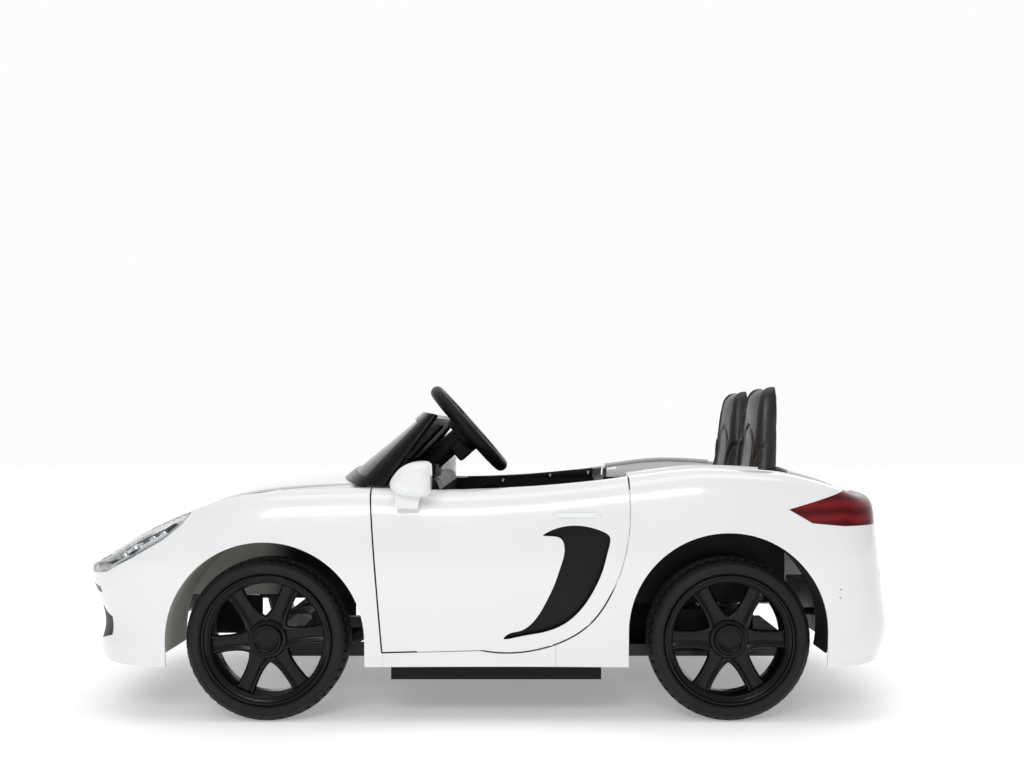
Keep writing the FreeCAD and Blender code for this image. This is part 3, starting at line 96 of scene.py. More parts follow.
bpy.ops.mesh.primitive_plane_add(size=floor_side, location=(0, 0, 0))
floor = bpy.context.object
floor.name = "studio_floor"
floor_finish = bpy.data.materials.new("pale_floor")
floor_finish.use_nodes = True
floor_shader = floor_finish.node_tree.nodes["Principled BSDF"]
floor_shader.inputs["Base Color"].default_value = (*floor_colour, 1)
floor_shader.inputs["Roughness"].default_value = floor_roughness
floor_shader.inputs["Emission Color"].default_value = (1, 1, 1, 1)
floor_shader.inputs["Emission Strength"].default_value = floor_glow
floor.data.materials.append(floor_finish)
print("floor:", floor_side, "m square")

# %% [markdown]
# ## Sky
# Gloss paint only reads as gloss when there is something to reflect. An even white sky would flatten the car, so
# this one falls off towards both ends of the car and behind the camera: the nose and the tail turn away into a
# soft grey, and black plastic mirrors a darker room. Seen directly, the backdrop stays white.

# %% Sky
sky_bright = 0.98
fall_to_ends = (0.45, 1.0, sky_bright, 0.40)
fall_to_camera = (-0.6, 0.3, 0.55, 1.0)

sky = bpy.data.worlds.new("studio_sky")
sky.use_nodes = True
sky_tree = sky.node_tree
backdrop = sky_tree.nodes["Background"]
backdrop.inputs["Color"].default_value = (1, 1, 1, 1)


def sky_math(operation, *sockets):
    """Math node fed by the given sockets of the sky."""
    node = sky_tree.nodes.new("ShaderNodeMath")
    node.operation = operation
    for count, socket in enumerate(sockets):
        sky_tree.links.new(socket, node.inputs[count])
    return node.outputs["Value"]


def sky_fall(socket, start, end, first, last):
    """Strength of the sky along one direction: first up to start, last from end on."""
    fall = sky_tree.nodes.new("ShaderNodeMapRange")
    fall.interpolation_type = "SMOOTHSTEP"
    fall.inputs["From Min"].default_value, fall.inputs["From Max"].default_value = start, end
    fall.inputs["To Min"].default_value, fall.inputs["To Max"].default_value = first, last
    sky_tree.links.new(socket, fall.inputs["Value"])
    return fall.outputs["Result"]


sky_way = sky_tree.nodes.new("ShaderNodeTexCoord")
sky_parts = sky_tree.nodes.new("ShaderNodeSeparateXYZ")
sky_tree.links.new(sky_way.outputs["Generated"], sky_parts.inputs["Vector"])
by_length = sky_fall(sky_math("ABSOLUTE", sky_parts.outputs["X"]), *fall_to_ends)
by_depth = sky_fall(sky_parts.outputs["Y"], *fall_to_camera)
sky_seen = sky_tree.nodes.new("ShaderNodeLightPath")
sky_mix = sky_tree.nodes.new("ShaderNodeMix")
sky_mix.inputs["B"].default_value = sky_bright
sky_tree.links.new(sky_seen.outputs["Is Camera Ray"], sky_mix.inputs["Factor"])
sky_tree.links.new(sky_math("MULTIPLY", by_length, by_depth), sky_mix.inputs["A"])
sky_tree.links.new(sky_mix.outputs["Result"], backdrop.inputs["Strength"])
bpy.context.scene.world = sky
print("sky nodes:", len(sky_tree.nodes))

# %% [markdown]
# ## Light panels
# Small lamps would leave hard spots on the gloss. Three wide soft panels, one over the car, one on the camera's
# side and a weak one behind, give long, quiet highlights along the wings and leave the underside in soft shade.

# %% Light panels
light_panels = {  # place, aim, size in metres, power in watts
    "over_panel": ((0.2, -0.6, 3.0), (0, 0, 0.3), (3.0, 1.2), 16),
    "side_panel": ((-0.4, -3.2, 2.0), (0, 0, 0.3), (1.7, 0.7), 30),
    "back_panel": ((1.4, 2.8, 2.0), (0, 0, 0.4), (2.4, 1.0), 8),
}
for panel_name, (place, aim, size, power) in light_panels.items():
    panel_data = bpy.data.lights.new(panel_name, "AREA")
    panel_data.shape = "RECTANGLE"
    panel_data.size, panel_data.size_y = size
    panel_data.energy = power
    panel = bpy.data.objects.new(panel_name, panel_data)
    panel.location = place
    panel.rotation_euler = (Vector(aim) - Vector(place)).to_track_quat("-Z", "Y").to_euler()
    bpy.context.scene.collection.objects.link(panel)
bpy.context.scene.view_settings.view_transform = "Standard"

# %% [markdown]
# ## Shared effects: colour drift
# Moulded plastic, rubber and paint are never one even colour. Two flat colours per piece would show a border, so
# a node group drifts the colour between two close shades over the surface. Every finish below places it with its
# own shades.

# %% Node group for colour drift
NUMBER, COLOUR = "NodeSocketFloat", "NodeSocketColor"
drift_detail = 4.0


def new_group(name, inputs, outputs):
    group = bpy.data.node_groups.new(name, "ShaderNodeTree")
    for label, kind, value in inputs:
        group.interface.new_socket(label, in_out="INPUT", socket_type=kind).default_value = value
    for label, kind in outputs:
        group.interface.new_socket(label, in_out="OUTPUT", socket_type=kind)
    return group, group.nodes.new("NodeGroupInput"), group.nodes.new("NodeGroupOutput")


def object_noise(group, scale_socket, detail):
    place = group.nodes.new("ShaderNodeTexCoord")
    noise = group.nodes.new("ShaderNodeTexNoise")
    noise.inputs["Detail"].default_value = detail
    group.links.new(place.outputs["Object"], noise.inputs["Vector"])
    group.links.new(scale_socket, noise.inputs["Scale"])
    return noise.outputs["Fac"]


def make_drift():
    inputs = [("Light", COLOUR, (1, 1, 1, 1)), ("Deep", COLOUR, (0, 0, 0, 1)), ("Scale", NUMBER, 6.0)]
    group, given, out = new_group("shade_drift", inputs, [("Color", COLOUR)])
    blend = group.nodes.new("ShaderNodeMix")
    blend.data_type = "RGBA"
    group.links.new(object_noise(group, given.outputs["Scale"], drift_detail), blend.inputs["Factor"])
    group.links.new(given.outputs["Light"], blend.inputs[6])
    group.links.new(given.outputs["Deep"], blend.inputs[7])
    group.links.new(blend.outputs[2], out.inputs["Color"])
    return group


drift_group = make_drift()
print("drift inputs:", [socket.name for socket in drift_group.interface.items_tree if socket.in_out == "INPUT"])

# %% [markdown]
# ## Shared effects: grain
# Mould textures and embossed vinyl break up the shine. A second group puts out a roughness that wanders and a
# small height for the bump. It comes in two kinds, plain grain and pebbles, because leather cells need soft
# edges that plain noise doesn't have.

# %% Node groups for grain
grain_detail = 2.0
patch_detail = 3.0
patch_share = 0.04
patch_range = (0.3, 0.7)


def pebbles(group, scale_socket):
    """Cells with soft edges, as embossed into vinyl."""
    place = group.nodes.new("ShaderNodeTexCoord")
    cells = group.nodes.new("ShaderNodeTexVoronoi")
    cells.feature = "SMOOTH_F1"
    group.links.new(place.outputs["Object"], cells.inputs["Vector"])
    group.links.new(scale_socket, cells.inputs["Scale"])
    return cells.outputs["Distance"]


def make_grain(name, embossed):
    inputs = [("Scale", NUMBER, 400.0), ("Rough Low", NUMBER, 0.3), ("Rough High", NUMBER, 0.4)]
    group, given, out = new_group(name, inputs, [("Roughness", NUMBER), ("Height", NUMBER)])
    scale = given.outputs["Scale"]
    fine = pebbles(group, scale) if embossed else object_noise(group, scale, grain_detail)
    broad = group.nodes.new("ShaderNodeMath")
    broad.operation = "MULTIPLY"
    broad.inputs[1].default_value = patch_share
    group.links.new(scale, broad.inputs[0])
    spread = group.nodes.new("ShaderNodeMapRange")
    group.links.new(object_noise(group, broad.outputs[0], patch_detail), spread.inputs["Value"])
    spread.inputs["From Min"].default_value, spread.inputs["From Max"].default_value = patch_range
    group.links.new(given.outputs["Rough Low"], spread.inputs["To Min"])
    group.links.new(given.outputs["Rough High"], spread.inputs["To Max"])
    group.links.new(spread.outputs["Result"], out.inputs["Roughness"])
    group.links.new(fine, out.inputs["Height"])
    return group


grain_group = make_grain("surface_grain", False)
pebble_group = make_grain("pebble_grain", True)
print("effects:", [g.name for g in bpy.data.node_groups])

# %% [markdown]
# ## Shared effects: masks for a second tone
# Some pieces change colour along their length: the front liners are pale ahead of the wheel, and the lamp cups
# go dark at the nose. In the tail lamps, lighter level bands are painted highlights where the ribs inside the
# lens would catch the light. Splitting the pieces would leave hard borders, so two more groups put out a mask,
# one along the car and one in level bands.

# %% Node groups for masks
rib_wander = 1.8


def make_fore_aft():
    """Mask along the car: 1 ahead of Front, 0 behind Rear, in metres."""
    inputs = [("Front", NUMBER, -0.5), ("Rear", NUMBER, -0.4)]
    group, given, out = new_group("fore_aft", inputs, [("Mask", NUMBER)])
    place = group.nodes.new("ShaderNodeTexCoord")
    parts = group.nodes.new("ShaderNodeSeparateXYZ")
    fall = group.nodes.new("ShaderNodeMapRange")
    fall.interpolation_type = "SMOOTHSTEP"
    fall.inputs["To Min"].default_value, fall.inputs["To Max"].default_value = 1.0, 0.0
    group.links.new(place.outputs["Object"], parts.inputs["Vector"])
    group.links.new(parts.outputs["X"], fall.inputs["Value"])
    group.links.new(given.outputs["Front"], fall.inputs["From Min"])
    group.links.new(given.outputs["Rear"], fall.inputs["From Max"])
    group.links.new(fall.outputs["Result"], out.inputs["Mask"])
    return group


def make_rib_highlight_bands():
    """Soft level bands at the ribs moulded inside a lens, where the tail lamps get painted highlights."""
    group, given, out = new_group("lens_rib_highlights", [("Scale", NUMBER, 60.0)], [("Mask", NUMBER)])
    place = group.nodes.new("ShaderNodeTexCoord")
    wave = group.nodes.new("ShaderNodeTexWave")
    wave.bands_direction = "Z"
    wave.inputs["Distortion"].default_value = rib_wander
    group.links.new(place.outputs["Object"], wave.inputs["Vector"])
    group.links.new(given.outputs["Scale"], wave.inputs["Scale"])
    group.links.new(wave.outputs["Fac"], out.inputs["Mask"])
    return group


fore_aft_group = make_fore_aft()
rib_highlight_group = make_rib_highlight_bands()
print("groups:", len(bpy.data.node_groups))

# %% [markdown]
# ## One recipe for all finishes
# Each finish is a Principled shader fed by the drift and the grain. Values that are the same all over, such as
# the clear coat or the pass of light through a lens, are set straight on the shader's own sockets.

# %% The finish recipe
grain_strength = 0.5


def finish(name, light, deep, rough, grain_scale, grain_depth, drift_scale=5.0, grain_kind=grain_group,
           **constants):
    """Material with drifting colour and fine grain. Depth is the height of the grain in metres."""
    material = bpy.data.materials.new(name)
    material.use_nodes = True
    tree = material.node_tree
    shader = tree.nodes["Principled BSDF"]
    drift = tree.nodes.new("ShaderNodeGroup")
    drift.node_tree = drift_group
    drift.inputs["Light"].default_value = (*light, 1)
    drift.inputs["Deep"].default_value = (*deep, 1)
    drift.inputs["Scale"].default_value = drift_scale
    grain = tree.nodes.new("ShaderNodeGroup")
    grain.node_tree = grain_kind
    grain.inputs["Scale"].default_value = grain_scale
    grain.inputs["Rough Low"].default_value, grain.inputs["Rough High"].default_value = rough
    bump = tree.nodes.new("ShaderNodeBump")
    bump.inputs["Strength"].default_value = grain_strength
    bump.inputs["Distance"].default_value = grain_depth
    tree.links.new(drift.outputs["Color"], shader.inputs["Base Color"])
    tree.links.new(grain.outputs["Roughness"], shader.inputs["Roughness"])
    tree.links.new(grain.outputs["Height"], bump.inputs["Height"])
    tree.links.new(bump.outputs["Normal"], shader.inputs["Normal"])
    for label, value in constants.items():
        shader.inputs[label.replace("_", " ")].default_value = value
    return material


print("shared effects in each finish:", drift_group.name, "and", grain_group.name)

# %% [markdown]
# ## Paint, plastic and rubber
# The shell is gloss white plastic with a clear coat. Trim, wheels, liners and tyres are all black, but they
# differ in shine: the vents and the wheels are polished, the trim is satin and the rubber is dull. One shared
# black would lose that, so each gets its own roughness and reflection.

# %% Paint, plastic and rubber
white_paint = finish("white_paint", (0.80, 0.81, 0.82), (0.77, 0.78, 0.79), (0.16, 0.24), 260, 0.00012, 3.0,
                     Coat_Weight=0.6, Coat_Roughness=0.05)
black_moulding = finish("black_moulding", (0.009, 0.009, 0.010), (0.005, 0.005, 0.006), (0.34, 0.48), 700,
                        0.0005, Specular_IOR_Level=0.12)
black_gloss = finish("black_gloss", (0.006, 0.006, 0.007), (0.004, 0.004, 0.005), (0.14, 0.24), 300, 0.0001,
                     Specular_IOR_Level=0.14, Coat_Weight=0.05, Coat_Roughness=0.06)
wheel_black = finish("wheel_black", (0.004, 0.004, 0.0045), (0.0025, 0.0025, 0.003), (0.16, 0.24), 350, 0.0002,
                     Specular_IOR_Level=0.2, Coat_Weight=0.04, Coat_Roughness=0.1)
tyre_rubber = finish("tyre_rubber", (0.010, 0.010, 0.011), (0.006, 0.006, 0.007), (0.45, 0.62), 500, 0.0006,
                     Specular_IOR_Level=0.25)
liner_plastic = finish("liner_plastic", (0.012, 0.012, 0.012), (0.008, 0.008, 0.008), (0.5, 0.65), 500, 0.0006,
                       Specular_IOR_Level=0.2)
frame_paint = finish("frame_paint", (0.022, 0.022, 0.023), (0.014, 0.014, 0.014), (0.30, 0.5), 420, 0.0003)
print("paint, plastic and rubber:", len(bpy.data.materials))

# %% [markdown]
# ## Metal, lenses and seat cover
# The lamp cups and latches are bright plated plastic, which a metallic shader gives. The lenses and the screen
# pass light, fully or in part, and the red lens is an opaque deep red with a thin coat, because nothing is built
# behind it. The seats are black vinyl embossed like leather, sewn with dark red thread.

# %% Metal, lenses and seat cover
bare_steel = finish("bare_steel", (0.52, 0.52, 0.53), (0.42, 0.42, 0.43), (0.25, 0.42), 380, 0.0002,
                    Metallic=1.0)
bright_chrome = finish("bright_chrome", (0.82, 0.83, 0.84), (0.76, 0.77, 0.78), (0.05, 0.12), 300, 0.00005,
                       Metallic=1.0)
lamp_silver = finish("lamp_silver", (0.78, 0.79, 0.80), (0.66, 0.67, 0.69), (0.12, 0.22), 240, 0.0002,
                     Metallic=0.9)
mirror_silver = finish("mirror_silver", (0.86, 0.88, 0.90), (0.84, 0.86, 0.88), (0.015, 0.03), 120, 0.00001,
                       Metallic=1.0)
clear_lens = finish("clear_lens", (0.96, 0.97, 0.98), (0.93, 0.95, 0.96), (0.02, 0.05), 200, 0.00003,
                    Transmission_Weight=1.0, IOR=1.45)
tinted_pane = finish("tinted_pane", (0.060, 0.064, 0.066), (0.045, 0.048, 0.050), (0.12, 0.20), 200, 0.00003,
                     Specular_IOR_Level=0.12, Transmission_Weight=0.45, IOR=1.45)
red_lens = finish("red_lens", (0.085, 0.003, 0.005), (0.055, 0.002, 0.003), (0.10, 0.18), 240, 0.00008, 9.0,
                  Specular_IOR_Level=0.2, Coat_Weight=0.08, Coat_Roughness=0.03)
seat_leather = finish("seat_leather", (0.022, 0.020, 0.017), (0.009, 0.009, 0.008), (0.30, 0.44), 420, 0.0005,
                      8.0, pebble_group, Specular_IOR_Level=0.45)
red_thread = finish("red_thread", (0.10, 0.012, 0.014), (0.07, 0.008, 0.010), (0.6, 0.8), 2200, 0.0003, 60.0)
print("finishes and floor:", len(bpy.data.materials))

# %% [markdown]
# ## Second tones
# The masks now bring in the second colours: pale front liners, lamp cups that darken towards the nose, and
# painted highlights on the ribs in the tail lamps.

# %% Second tones
def second_tone(material, group, colour, **values):
    """Mix a second colour into a finish where a mask group says so."""
    tree = material.node_tree
    shader = tree.nodes["Principled BSDF"]
    base = shader.inputs["Base Color"].links[0].from_socket
    mask = tree.nodes.new("ShaderNodeGroup")
    mask.node_tree = group
    for label, value in values.items():
        mask.inputs[label].default_value = value
    mix = tree.nodes.new("ShaderNodeMix")
    mix.data_type = "RGBA"
    mix.inputs["B"].default_value = (*colour, 1)
    tree.links.new(mask.outputs["Mask"], mix.inputs["Factor"])
    tree.links.new(base, mix.inputs["A"])
    tree.links.new(mix.outputs["Result"], shader.inputs["Base Color"])
    print("second tone on", material.name)


second_tone(liner_plastic, fore_aft_group, (0.50, 0.50, 0.45), Front=-0.44, Rear=-0.37)
second_tone(lamp_silver, fore_aft_group, (0.05, 0.052, 0.055), Front=-0.715, Rear=-0.675)
# Painted highlights: lighter red bands on the opaque tail lamp, where the ribs inside the lens would catch the
# light.
second_tone(red_lens, rib_highlight_group, (0.17, 0.009, 0.012), Scale=13.0)

# %% [markdown]
# ## Finishes on the rigid pieces
# The record already sorts every rigid piece into a material slot, so one small table from slot to finish
# dresses them all. Pieces that shine more than their slot says get their own line.

# %% Dress the rigid pieces
slot_finish = {
    "body_white": white_paint, "trim_black": black_moulding, "liner": liner_plastic,
    "headlamp_clear": clear_lens, "headlamp_cup": lamp_silver, "tail_lamp_red": red_lens,
    "screen_tint": tinted_pane, "mirror_glass": mirror_silver, "latch_chrome": bright_chrome,
    "frame_steel": frame_paint, "motor_steel": bare_steel, "seat_leather": seat_leather,
    "tyre_rubber": tyre_rubber, "rim_black": wheel_black,
}
for subpart in frame["record"]["subparts"]:
    mesh = nodes[subpart["node"]].data
    mesh.materials.clear()
    mesh.materials.append(slot_finish[subpart["material_slot"]])
for gloss_node in ("windscreen_frame", "side_vent_left", "side_vent_right"):
    nodes[gloss_node].data.materials[0] = black_gloss

# %% [markdown]
# ## Helpers for modelling by hand
# Blender's operators act on whatever is selected, so each step first clears the selection. A finished piece
# gets its place put into its mesh, smooth shading that keeps sharp edges, a finish, and a body to ride on.

# %% Helpers for selecting and finishing
sides = (("left", -1), ("right", 1))


def deselect():
    bpy.ops.object.select_all(action="DESELECT")


def make_active(piece):
    deselect()
    piece.select_set(True)
    bpy.context.view_layer.objects.active = piece


def own_copy(model):
    """Copy of a model with a mesh of its own."""
    piece = model.copy()
    piece.data = model.data.copy()
    bpy.context.scene.collection.objects.link(piece)
    return piece


def settle(piece, name, material, body, smooth_deg=32):
    """Finish a piece: transforms into the mesh, smooth shading, a finish and a body to ride on."""
    make_active(piece)
    bpy.ops.object.transform_apply(location=True, rotation=True, scale=True)
    bpy.ops.object.shade_smooth_by_angle(angle=math.radians(smooth_deg))
    piece.name = name
    piece.data.materials.clear()
    piece.data.materials.append(material)
    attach(piece, body)
    return piece


print("sides of the car along Y:", dict(sides))

# %% [markdown]
# ## Helpers for shaping a mesh
# Most pieces are opened in edit mode as a whole or by chosen faces. Choosing faces in code only works when the
# flags of points and edges are cleared first, because edit mode would spread them. Round pieces are spun from a
# profile, which keeps them exactly round and gives them clean rings of faces.

# %% Helpers for shaping
merge_gap = 0.00002
soft_angle = 60


def open_whole(piece):
    """Open a piece in edit mode with all of it selected."""
    make_active(piece)
    bpy.ops.object.mode_set(mode="EDIT")
    bpy.ops.mesh.select_all(action="SELECT")


def close_edit():
    bpy.ops.object.mode_set(mode="OBJECT")


def pick_faces(piece, wanted):
    """Open a piece in edit mode with only the wanted faces selected."""
    make_active(piece)
    for kind in (piece.data.vertices, piece.data.edges):
        kind.foreach_set("select", [False] * len(kind))
    for face in piece.data.polygons:
        face.select = wanted(face)
    bpy.context.tool_settings.mesh_select_mode = (False, False, True)
    bpy.ops.object.mode_set(mode="EDIT")


def apply_modifier(piece, kind, **settings):
    make_active(piece)
    modifier = piece.modifiers.new(kind.lower(), kind)
    for label, value in settings.items():
        setattr(modifier, label, value)
    bpy.ops.object.modifier_apply(modifier=modifier.name)


def close_mesh(piece):
    """Merge doubled points and point all faces outwards."""
    open_whole(piece)
    bpy.ops.mesh.remove_doubles(threshold=merge_gap)
    bpy.ops.mesh.normals_make_consistent(inside=False)
    close_edit()


def spun(profile_mm, steps):
    """Closed profile of (radius, across) in millimetres, turned round the Y axis at the origin."""
    deselect()
    bpy.ops.mesh.primitive_circle_add(vertices=len(profile_mm), radius=0.1, location=(0, 0, 0))
    piece = bpy.context.object
    for vertex, (radius, across) in zip(piece.data.vertices, profile_mm):
        vertex.co = (radius / 1000, across / 1000, 0)
    open_whole(piece)
    bpy.ops.mesh.spin(steps=steps, angle=2 * math.pi, center=(0, 0, 0), axis=(0, 1, 0))
    close_edit()
    close_mesh(piece)
    return piece


print("points closer than", merge_gap * 1000, "mm are merged")

# %% [markdown]
# ## Tyres
# A ride-on tyre is soft EVA or rubber with a plain sidewall: two fine rings, a bead against the rim and short
# cuts across each shoulder of the tread. It could be one swept tube with a bump texture, but the cuts show in
# the outline, so the profile is spun round the axle and every third shoulder face is inset inwards.

# %% One tyre
tread_half = [(150.0, 0), (150.0, 3.6), (147.2, 4.4), (147.2, 7.2), (150.0, 8.0), (149.9, 15.5), (147.2, 16.3),
              (147.2, 18.6), (149.7, 19.4), (149.0, 23.5), (147.0, 28.5), (143.8, 33.0), (141.0, 35.2),
              (139.6, 36.4), (138.8, 37.2), (137.4, 37.2), (136.6, 36.6), (133.0, 37.4), (128.5, 37.9),
              (126.4, 38.0), (125.6, 37.2), (124.0, 37.2), (123.2, 36.4), (121.4, 34.6), (119.0, 31.5)]
tyre_inside = (118.2, 0.0)
tyre_steps = 150
cut_every = 3
cut_low, cut_high = 0.1425, 0.1494
cut_aside = 0.0195
cut_wall, cut_depth = 0.0006, 0.0030
tyre_profile = [(r, -y) for r, y in tread_half] + [tyre_inside] + [(r, y) for r, y in tread_half[:0:-1]]
tyre_model = spun(tyre_profile, tyre_steps)


def is_shoulder_cut(face):
    reach = math.hypot(face.center.x, face.center.z)
    segment = int((math.atan2(face.center.z, face.center.x) / (2 * math.pi) % 1.0) * tyre_steps)
    return cut_low < reach < cut_high and abs(face.center.y) > cut_aside and segment % cut_every == 0


pick_faces(tyre_model, is_shoulder_cut)
bpy.ops.mesh.inset(thickness=cut_wall, depth=-cut_depth)
close_edit()
print("tyre faces:", len(tyre_model.data.polygons))

# %% [markdown]
# ## Rims: barrel and hub
# The wheel is one black moulding: a lip with a fine bead, a deep barrel, six arms and a round hub. Barrel and
# hub could be stacked from cylinders, but their steps flow into each other, so each is spun from its profile.

# %% One rim: barrel and hub
barrel_profile = [(118.6, -33.5), (119.2, -36.6), (117.8, -37.8), (115.6, -37.8), (114.2, -36.4), (113.4, -33.0),
                  (109.8, -31.6), (108.8, -30.2), (107.2, -30.2), (106.4, -28.6), (104.4, -27.0), (102.4, -12.0),
                  (101.6, 0.0), (102.2, 26.0), (107.0, 34.0), (116.0, 36.2), (118.2, 34.0), (112.0, 27.0),
                  (107.0, 0.0), (110.5, -25.0)]
hub_profile = [(0.0, -24.0), (30.0, -24.0), (34.0, -23.2), (36.0, -21.0), (36.6, -16.0), (37.4, -6.0),
               (36.0, 4.0), (30.0, 8.0), (0.0, 8.0)]
barrel_steps, hub_steps = 96, 64
rim_barrel = spun(barrel_profile, barrel_steps)
rim_hub = spun(hub_profile, hub_steps)
print("rim barrel faces:", len(rim_barrel.data.polygons))

# %% [markdown]
# ## Rims: six arms
# Each arm widens into the hub and the rim and carries a raised line along both edges. A plain bar would miss
# those lines, so one arm starts as a flat grid, is pulled to its outline and section, gets a wall and softer
# edges from modifiers, and is turned into six.

# %% One rim: six arms
arm_stations = [(24.0, 60.0), (33.0, 52.0), (42.0, 41.0), (54.0, 35.0), (70.0, 33.0), (86.0, 34.0),
                (96.0, 36.0), (102.0, 39.0), (107.0, 46.0)]  # reach from the axle and width
arm_across = [(-0.5, -13.0), (-0.46, -18.5), (-0.38, -21.8), (-0.29, -21.6), (-0.22, -18.6), (0.0, -18.0),
              (0.22, -18.6), (0.29, -21.6), (0.38, -21.8), (0.46, -18.5), (0.5, -13.0)]  # share and height
arm_count = 6
arm_wall = 0.009
last_station, last_across = len(arm_stations) - 1, len(arm_across) - 1
deselect()
bpy.ops.mesh.primitive_grid_add(x_subdivisions=last_station, y_subdivisions=last_across, size=1)
rim_arm = bpy.context.object
for vertex in rim_arm.data.vertices:
    reach, width = arm_stations[round((vertex.co.x + 0.5) * last_station)]
    share, height = arm_across[round((vertex.co.y + 0.5) * last_across)]
    vertex.co = (reach / 1000, height / 1000, share * width / 1000)
apply_modifier(rim_arm, "SOLIDIFY", thickness=arm_wall, offset=-1.0, use_even_offset=False)
apply_modifier(rim_arm, "SUBSURF", levels=1, render_levels=1)
open_whole(rim_arm)
bpy.ops.mesh.normals_make_consistent(inside=False)
for arm in range(arm_count - 1):
    bpy.ops.mesh.duplicate()
    bpy.ops.transform.rotate(value=math.radians(360 / arm_count), orient_axis="Y", center_override=(0, 0, 0))
close_edit()
deselect()
for piece in (rim_arm, rim_hub, rim_barrel):
    piece.select_set(True)
bpy.context.view_layer.objects.active = rim_barrel
bpy.ops.object.join()
rim_model = bpy.context.object
print("rim faces:", len(rim_model.data.polygons))

# %% [markdown]
# ## Hub caps
# A glossy press-in cap covers the axle nut. Its raised ring and shallow dish catch a bright line, which a flat
# disc would not, so the cap is spun from its own profile.

# %% One hub cap
cap_profile = [(0.0, -29.6), (12.0, -29.8), (20.0, -30.4), (21.6, -31.4), (22.6, -33.4), (24.4, -34.0),
               (26.8, -33.6), (28.4, -31.8), (29.0, -29.0), (29.0, -23.0), (0.0, -23.0)]
cap_steps = 72
cap_model = spun(cap_profile, cap_steps)
print("cap faces:", len(cap_model.data.polygons))

# %% [markdown]
# ## Four of each
# The wheel is modelled once, facing the left side of the car, and copied to its four places with a mesh of its
# own. The right-hand copies are turned half round instead of mirrored, so their faces keep pointing outwards.

# %% Copy to the four wheels
front_arm_turn = math.radians(-6)
wheel_models = (("tyre", tyre_model, tyre_rubber, "tyre_rubber"), ("rim", rim_model, wheel_black, "rim_black"),
                ("hub_cap", cap_model, black_gloss, "rim_black"))
for corner in ("front_left", "front_right", "rear_left", "rear_right"):
    low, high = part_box("tyre_" + corner)
    middle = Vector([(a + b) / 2 for a, b in zip(low, high)])
    turn = Matrix.Rotation(math.pi if corner.endswith("right") else 0.0, 4, "Z")
    turn = turn @ Matrix.Rotation(front_arm_turn if corner.startswith("front") else 0.0, 4, "Y")
    for part_name, model, material, slot in wheel_models:
        piece = own_copy(model)
        piece.data.transform(Matrix.Translation(middle) @ turn)
        settle(piece, "%s_%s_detailed" % (part_name, corner), material, "wheel_" + corner)
        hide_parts("%s_%s" % (part_name, corner))
for model in (tyre_model, rim_model, cap_model):
    bpy.data.objects.remove(model)

# %% [markdown]
# ## Padded seats
# Each seat is foam under black leather-look vinyl: a cushion and a back with two bolsters and a centre panel.
# A subdivided block would look like plastic, so a copy of the rigid form is remeshed, shrunk a little and blown
# up again as cloth, which gives the soft crown of real stuffing. It is then held inside the rigid seat's box.

# %% Swell a pad
pad_voxel = 0.0055
pad_smoothing, pad_smooth_rounds = 0.5, 3
pad_shrink = 0.0035
pad_pressure = 4.0
pad_quality = 3
pad_frames = 16
pad_swell_limit = 0.009


def stuff(pad):
    """Blow a pad up as cloth, with no weight on it."""
    cloth = pad.modifiers.new("stuffing", "CLOTH")
    cloth.settings.use_pressure = True
    cloth.settings.uniform_pressure_force = pad_pressure
    cloth.settings.effector_weights.gravity = 0.0
    cloth.settings.quality = pad_quality
    cloth.point_cache.frame_start = 1
    cloth.point_cache.frame_end = pad_frames
    for step in range(1, pad_frames + 1):
        bpy.context.scene.frame_set(step)
    make_active(pad)
    bpy.ops.object.modifier_apply(modifier=cloth.name)
    bpy.context.scene.frame_set(1)


def swollen_pad(node):
    """Copy of a rigid seat form, blown up and kept inside the rigid form's box."""
    pad = own_copy(nodes[node])
    pad.parent = None
    pad.matrix_world = Matrix.Identity(4)
    close_mesh(pad)
    apply_modifier(pad, "REMESH", mode="VOXEL", voxel_size=pad_voxel)
    apply_modifier(pad, "SMOOTH", factor=pad_smoothing, iterations=pad_smooth_rounds)
    apply_modifier(pad, "DISPLACE", strength=-pad_shrink, mid_level=0.0, direction="NORMAL")
    start = [vertex.co.copy() for vertex in pad.data.vertices]
    stuff(pad)
    low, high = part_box(node)
    for vertex, rest in zip(pad.data.vertices, start):
        move = vertex.co - rest
        if move.length > pad_swell_limit:
            vertex.co = rest + move * (pad_swell_limit / move.length)
        vertex.co = [min(max(v, a), b) for v, a, b in zip(vertex.co, low, high)]
    apply_modifier(pad, "SUBSURF", levels=1, render_levels=1)
    return pad


print("pads swell by", pad_swell_limit * 1000, "mm at most")

# %% [markdown]
# ## Seams
# The vinyl is sewn from panels, so every seam pulls the foam in. A dark line in the material would look flat in
# side light, so the seam lines are drawn in the seat's own plane and the pad's points near a line are pushed in.

# %% Press the seams in
seam_half_width = 0.007
seam_depth = 0.0045
seam_sample = 0.004
seam_facing = 0.25


def along_line(line, step):
    """Points at an even spacing along a line of flat points, each with its direction."""
    found = []
    carry = 0.0
    for a, b in zip(line, line[1:]):
        a, b = Vector(a), Vector(b)
        run = (b - a).length
        while carry < run:
            found.append((a.lerp(b, carry / run), (b - a).normalized()))
            carry += step
        carry -= run
    return found


def press_seams(pad, lines, facing, flat):
    """Push the pad in along the lines. Facing is the outward direction, flat turns a point into the plane."""
    samples = [point for line in lines for point, _ in along_line(line, seam_sample)]
    tree = KDTree(len(samples))
    for index, point in enumerate(samples):
        tree.insert((point.x, point.y, 0), index)
    tree.balance()
    for vertex in pad.data.vertices:
        if vertex.normal.dot(facing) < seam_facing:
            continue
        _, _, gap = tree.find((*flat(vertex.co), 0))
        if gap < seam_half_width:
            vertex.co -= facing * (seam_depth * (1 - (gap / seam_half_width) ** 2) ** 2)


print("seams are", seam_depth * 1000, "mm deep")

# %% [markdown]
# ## Stitching
# Every seam carries a double row of dark red thread. One stitch is modelled as a short rod with soft ends, and
# its points are laid again and again on the pad, on both sides of the line, so that it follows the swell.

